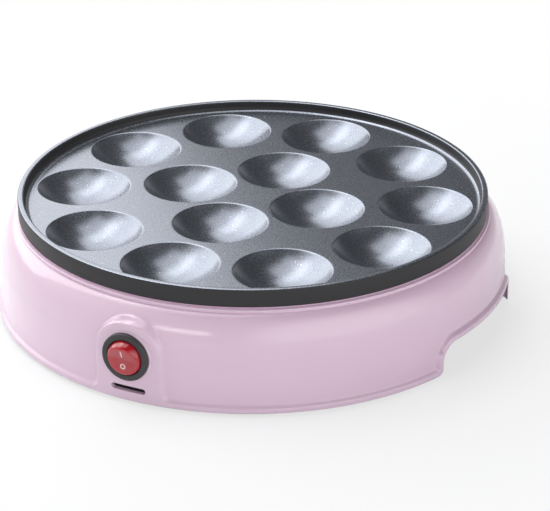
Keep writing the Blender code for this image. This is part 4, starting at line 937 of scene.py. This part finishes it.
bar = [(z, x) for x, z in stadium(ON_SIGN_LENGTH, SIGN_STROKE)]
ring = arc((0, 0), OFF_SIGN_RADIUS, 0, 2 * pi, 40)[:-1]
ring_hole = arc((0, 0), OFF_SIGN_RADIUS - SIGN_STROKE, 0, 2 * pi, 40)[:-1]
sign("on_sign", bar, None, ON_SIGN_PLACE, 2 * ROCKER_TILT)
sign("off_sign", ring, ring_hole, OFF_SIGN_PLACE, 0.0)

# Bottom cover
# A dished tray of black polypropylene, moulded with the two hand pockets, the vents and the screw
# seats. It closes the housing from below.
COVER_EDGE = 0.0003
cover = frame["nodes"]["bottom_cover"]
cover_black = satin_plastic("cover_polypropylene", (0.035, 0.035, 0.038), 0.55, 1500.0)
cover.material_slots[0].material = cover_black
cover.data.shade_smooth()
cover.data.set_sharp_from_angle(angle=radians(30))
cover_edge = cover.modifiers.new("edge", "BEVEL")
cover_edge.width = COVER_EDGE
cover_edge.segments = 2
cover_edge.limit_method = "ANGLE"
cover_edge.angle_limit = radians(50)
cover_edge.harden_normals = True

# Feet
# Four buttons of black rubber, pushed through holes in the cover until their beads snap in.
# Each stands on a ring round a shallow hollow.
FOOT_ROUND = 0.0007
FOOT_NECK = 0.0029
FOOT_BEAD_RADIUS = 0.0037
FOOT_BEAD = 0.0053
FOOT_FLANGE = 0.0027
FOOT_HOLLOW = 0.0044
FOOT_HOLLOW_DEPTH = 0.0007
foot_rubber = satin_plastic("foot_rubber", (0.022, 0.022, 0.022), 0.8, 1200.0)
for node in [name for name in frame["nodes"] if name.startswith("foot_")]:
    low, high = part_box(node)
    radius = (high.x - low.x) / 2
    foot = [(0, high.z), (FOOT_NECK / 2, high.z), (FOOT_BEAD_RADIUS, FOOT_BEAD), (FOOT_NECK, FOOT_BEAD),
            (FOOT_NECK, FOOT_FLANGE)]
    foot += arc((radius - FOOT_ROUND, FOOT_FLANGE - FOOT_ROUND), FOOT_ROUND, pi / 2, 0, 5)
    foot += arc((radius - 2 * FOOT_ROUND, FOOT_ROUND), FOOT_ROUND, 0, -pi / 2, 5)
    foot += arc((FOOT_HOLLOW, FOOT_HOLLOW_DEPTH), FOOT_HOLLOW_DEPTH, -pi / 2, -pi, 4)
    foot += [(0, FOOT_HOLLOW_DEPTH)]
    piece = turned(f"{node}_button", foot, 64, foot_rubber)
    piece.location = ((low.x + high.x) / 2, (low.y + high.y) / 2, 0)
    settle(piece)
    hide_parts(node)
    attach(piece, "base")

# Cord gland
# A bush of black nylon in the rear wall. Its collar lies on the wall and its nose keeps the mains
# lead from kinking.
GLAND_BORE = 0.0037
GLAND_NECK = 0.0056
GLAND_NOSE_RADIUS = 0.0060
GLAND_COLLAR = 0.0026
GLAND_NOSE = 0.0045
GLAND_ROUND = 0.0006
gland_black = satin_plastic("gland_nylon", (0.030, 0.030, 0.032), 0.45)
tip, inner = GLAND_HIGH.y, GLAND_LOW.y
outer = tip - GLAND_COLLAR - GLAND_NOSE
gland = arc((GLAND_BORE + GLAND_ROUND, tip - GLAND_ROUND), GLAND_ROUND, pi, pi / 2, 4)
gland += arc((GLAND_NOSE_RADIUS - GLAND_ROUND, tip - GLAND_ROUND), GLAND_ROUND, pi / 2, 0, 5)
neck_corner = (GLAND_NOSE_RADIUS + GLAND_ROUND, tip - GLAND_NOSE + GLAND_ROUND)
gland += arc(neck_corner, GLAND_ROUND, pi, 3 * pi / 2, 4)
gland += arc((GLAND_RADIUS - GLAND_ROUND, tip - GLAND_NOSE - GLAND_ROUND), GLAND_ROUND, pi / 2, 0, 5)
gland += [(GLAND_RADIUS, outer), (GLAND_NECK, outer), (GLAND_NECK, inner + GLAND_COLLAR),
          (GLAND_RADIUS, inner + GLAND_COLLAR), (GLAND_RADIUS, inner), (GLAND_BORE, inner)]
gland_bush = turned("gland_bush", gland, 96, gland_black)
gland_bush.matrix_world = Matrix.Translation((0, 0, GLAND_HEIGHT)) @ Matrix.Rotation(-pi / 2, 4, "X")
settle(gland_bush)
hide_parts("cord_gland")
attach(gland_bush, "base")

# Tie screws
# Four long zinc-plated screws with cross recesses. They run from seats in the cover, through
# spacer tubes, up into the plate.
TIE_HEAD_HEIGHT = 0.0026
TIE_HEAD_ROUND = 0.0012
TIE_SHANK = 0.0020
CROSS_LENGTH = 0.0044
CROSS_WIDTH = 0.0008
CROSS_DEPTH = 0.0013


def metal(name, colour, roughness, scale=400.0, stretch=(1.0, 1.0, 1.0)):
    """Bare or plated metal with fine uneven marks."""
    material, nodes, link, output = new_material(name)
    body = nodes.new("ShaderNodeBsdfPrincipled")
    body.inputs["Metallic"].default_value = 1.0
    place = nodes.new("ShaderNodeTexCoord")
    turn = nodes.new("ShaderNodeMapping")
    turn.inputs["Scale"].default_value = stretch
    marks = nodes.new("ShaderNodeTexNoise")
    marks.inputs["Scale"].default_value = scale
    marks.inputs["Detail"].default_value = 4.0
    tone = nodes.new("ShaderNodeMix")
    tone.data_type = "RGBA"
    tone.inputs["A"].default_value = (*[c * 0.85 for c in colour], 1.0)
    tone.inputs["B"].default_value = (*[min(1.0, c * 1.1) for c in colour], 1.0)
    uneven = nodes.new("ShaderNodeMapRange")
    uneven.inputs["To Min"].default_value = roughness - 0.08
    uneven.inputs["To Max"].default_value = roughness + 0.08
    link(place.outputs["Object"], turn.inputs["Vector"])
    link(turn.outputs["Vector"], marks.inputs["Vector"])
    link(marks.outputs["Fac"], tone.inputs["Factor"])
    link(tone.outputs["Result"], body.inputs["Base Color"])
    link(marks.outputs["Fac"], uneven.inputs["Value"])
    link(uneven.outputs["Result"], body.inputs["Roughness"])
    link(body.outputs["BSDF"], output.inputs["Surface"])
    return material


def block(name, size, middle):
    """A plain block, as a cutter or a small piece."""
    bpy.ops.mesh.primitive_cube_add(size=1)
    piece = bpy.context.object
    piece.name = name
    piece.data.transform(Matrix.Translation(middle) @ Matrix.Diagonal((*size, 1)))
    return piece


plated = metal("zinc_plate", (0.62, 0.62, 0.60), 0.34)
for node in [name for name in frame["nodes"] if name.startswith("tie_screw_")]:
    low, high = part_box(node)
    radius = (high.x - low.x) / 2
    head = low.z + TIE_HEAD_HEIGHT
    screw_line = [(0, high.z), (TIE_SHANK, high.z - TIE_SHANK / 2), (TIE_SHANK, head), (radius, head)]
    corner = (radius - TIE_HEAD_ROUND, low.z + TIE_HEAD_ROUND)
    screw_line += arc(corner, TIE_HEAD_ROUND, 0, -pi / 2, 6) + [(0, low.z)]
    piece = turned(f"{node}_bar", screw_line, 48, plated)
    settle(piece)
    for turn in (pi / 4, -pi / 4):
        cross = block("cross", (CROSS_LENGTH, CROSS_WIDTH, 2 * CROSS_DEPTH), (0, 0, low.z))
        cross.matrix_world = Matrix.Rotation(turn, 4, "Z")
        cut_away(piece, cross)
    piece.location = ((low.x + high.x) / 2, (low.y + high.y) / 2, 0)
    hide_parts(node)
    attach(piece, "base")

# Hot parts
# Under the plate lie a sheathed element held by plated straps, a snap-disc thermostat with brass
# tabs, and a pressed shield of aluminised steel with the sleeved fuse clipped below it.


def dress(finish, *starts):
    """The piece keeps its own form and takes its real finish."""
    for node, piece in frame["nodes"].items():
        if node.startswith(starts):
            for surface_slot in piece.material_slots:
                surface_slot.material = finish
            piece.data.shade_smooth()
            piece.data.set_sharp_from_angle(angle=radians(35))


brass = metal("tab_brass", (0.72, 0.54, 0.24), 0.3)
dress(metal("tinted_sheath", (0.22, 0.19, 0.17), 0.45), "heating_element")
dress(metal("aluminised_sheet", (0.74, 0.74, 0.73), 0.3, 300.0, (1.0, 0.15, 1.0)), "heat_shield")
dress(plated, "element_clamp", "clamp_screw", "fuse_clip", "spacer_tube")
dress(satin_plastic("thermostat_ceramic", (0.80, 0.79, 0.75), 0.35), "thermostat")
dress(brass, "element_terminal", "thermostat_tab")
dress(satin_plastic("glass_fibre_sleeve", (0.78, 0.75, 0.66), 0.8, 2500.0, 0.0002), "thermal_fuse")

# Wiring
# Sleeved copper wires join the switch, the thermostat and the element to a nylon terminal block
# on the cover's floor. A nylon saddle behind the gland holds the lead.
nylon = satin_plastic("natural_nylon", (0.74, 0.72, 0.65), 0.42)
dress(nylon, "terminal_block", "cord_clamp")
dress(plated, "cord_clamp_screw")
dress(satin_plastic("brown_sleeve", (0.13, 0.05, 0.02), 0.35), "wire_")
dress(satin_plastic("blue_sleeve", (0.02, 0.07, 0.42), 0.35), "wire_switch_to_block")
dress(brass, "switch_tab")
dress(satin_plastic("lamp_glass", (0.75, 0.50, 0.40), 0.1), "switch_lamp")
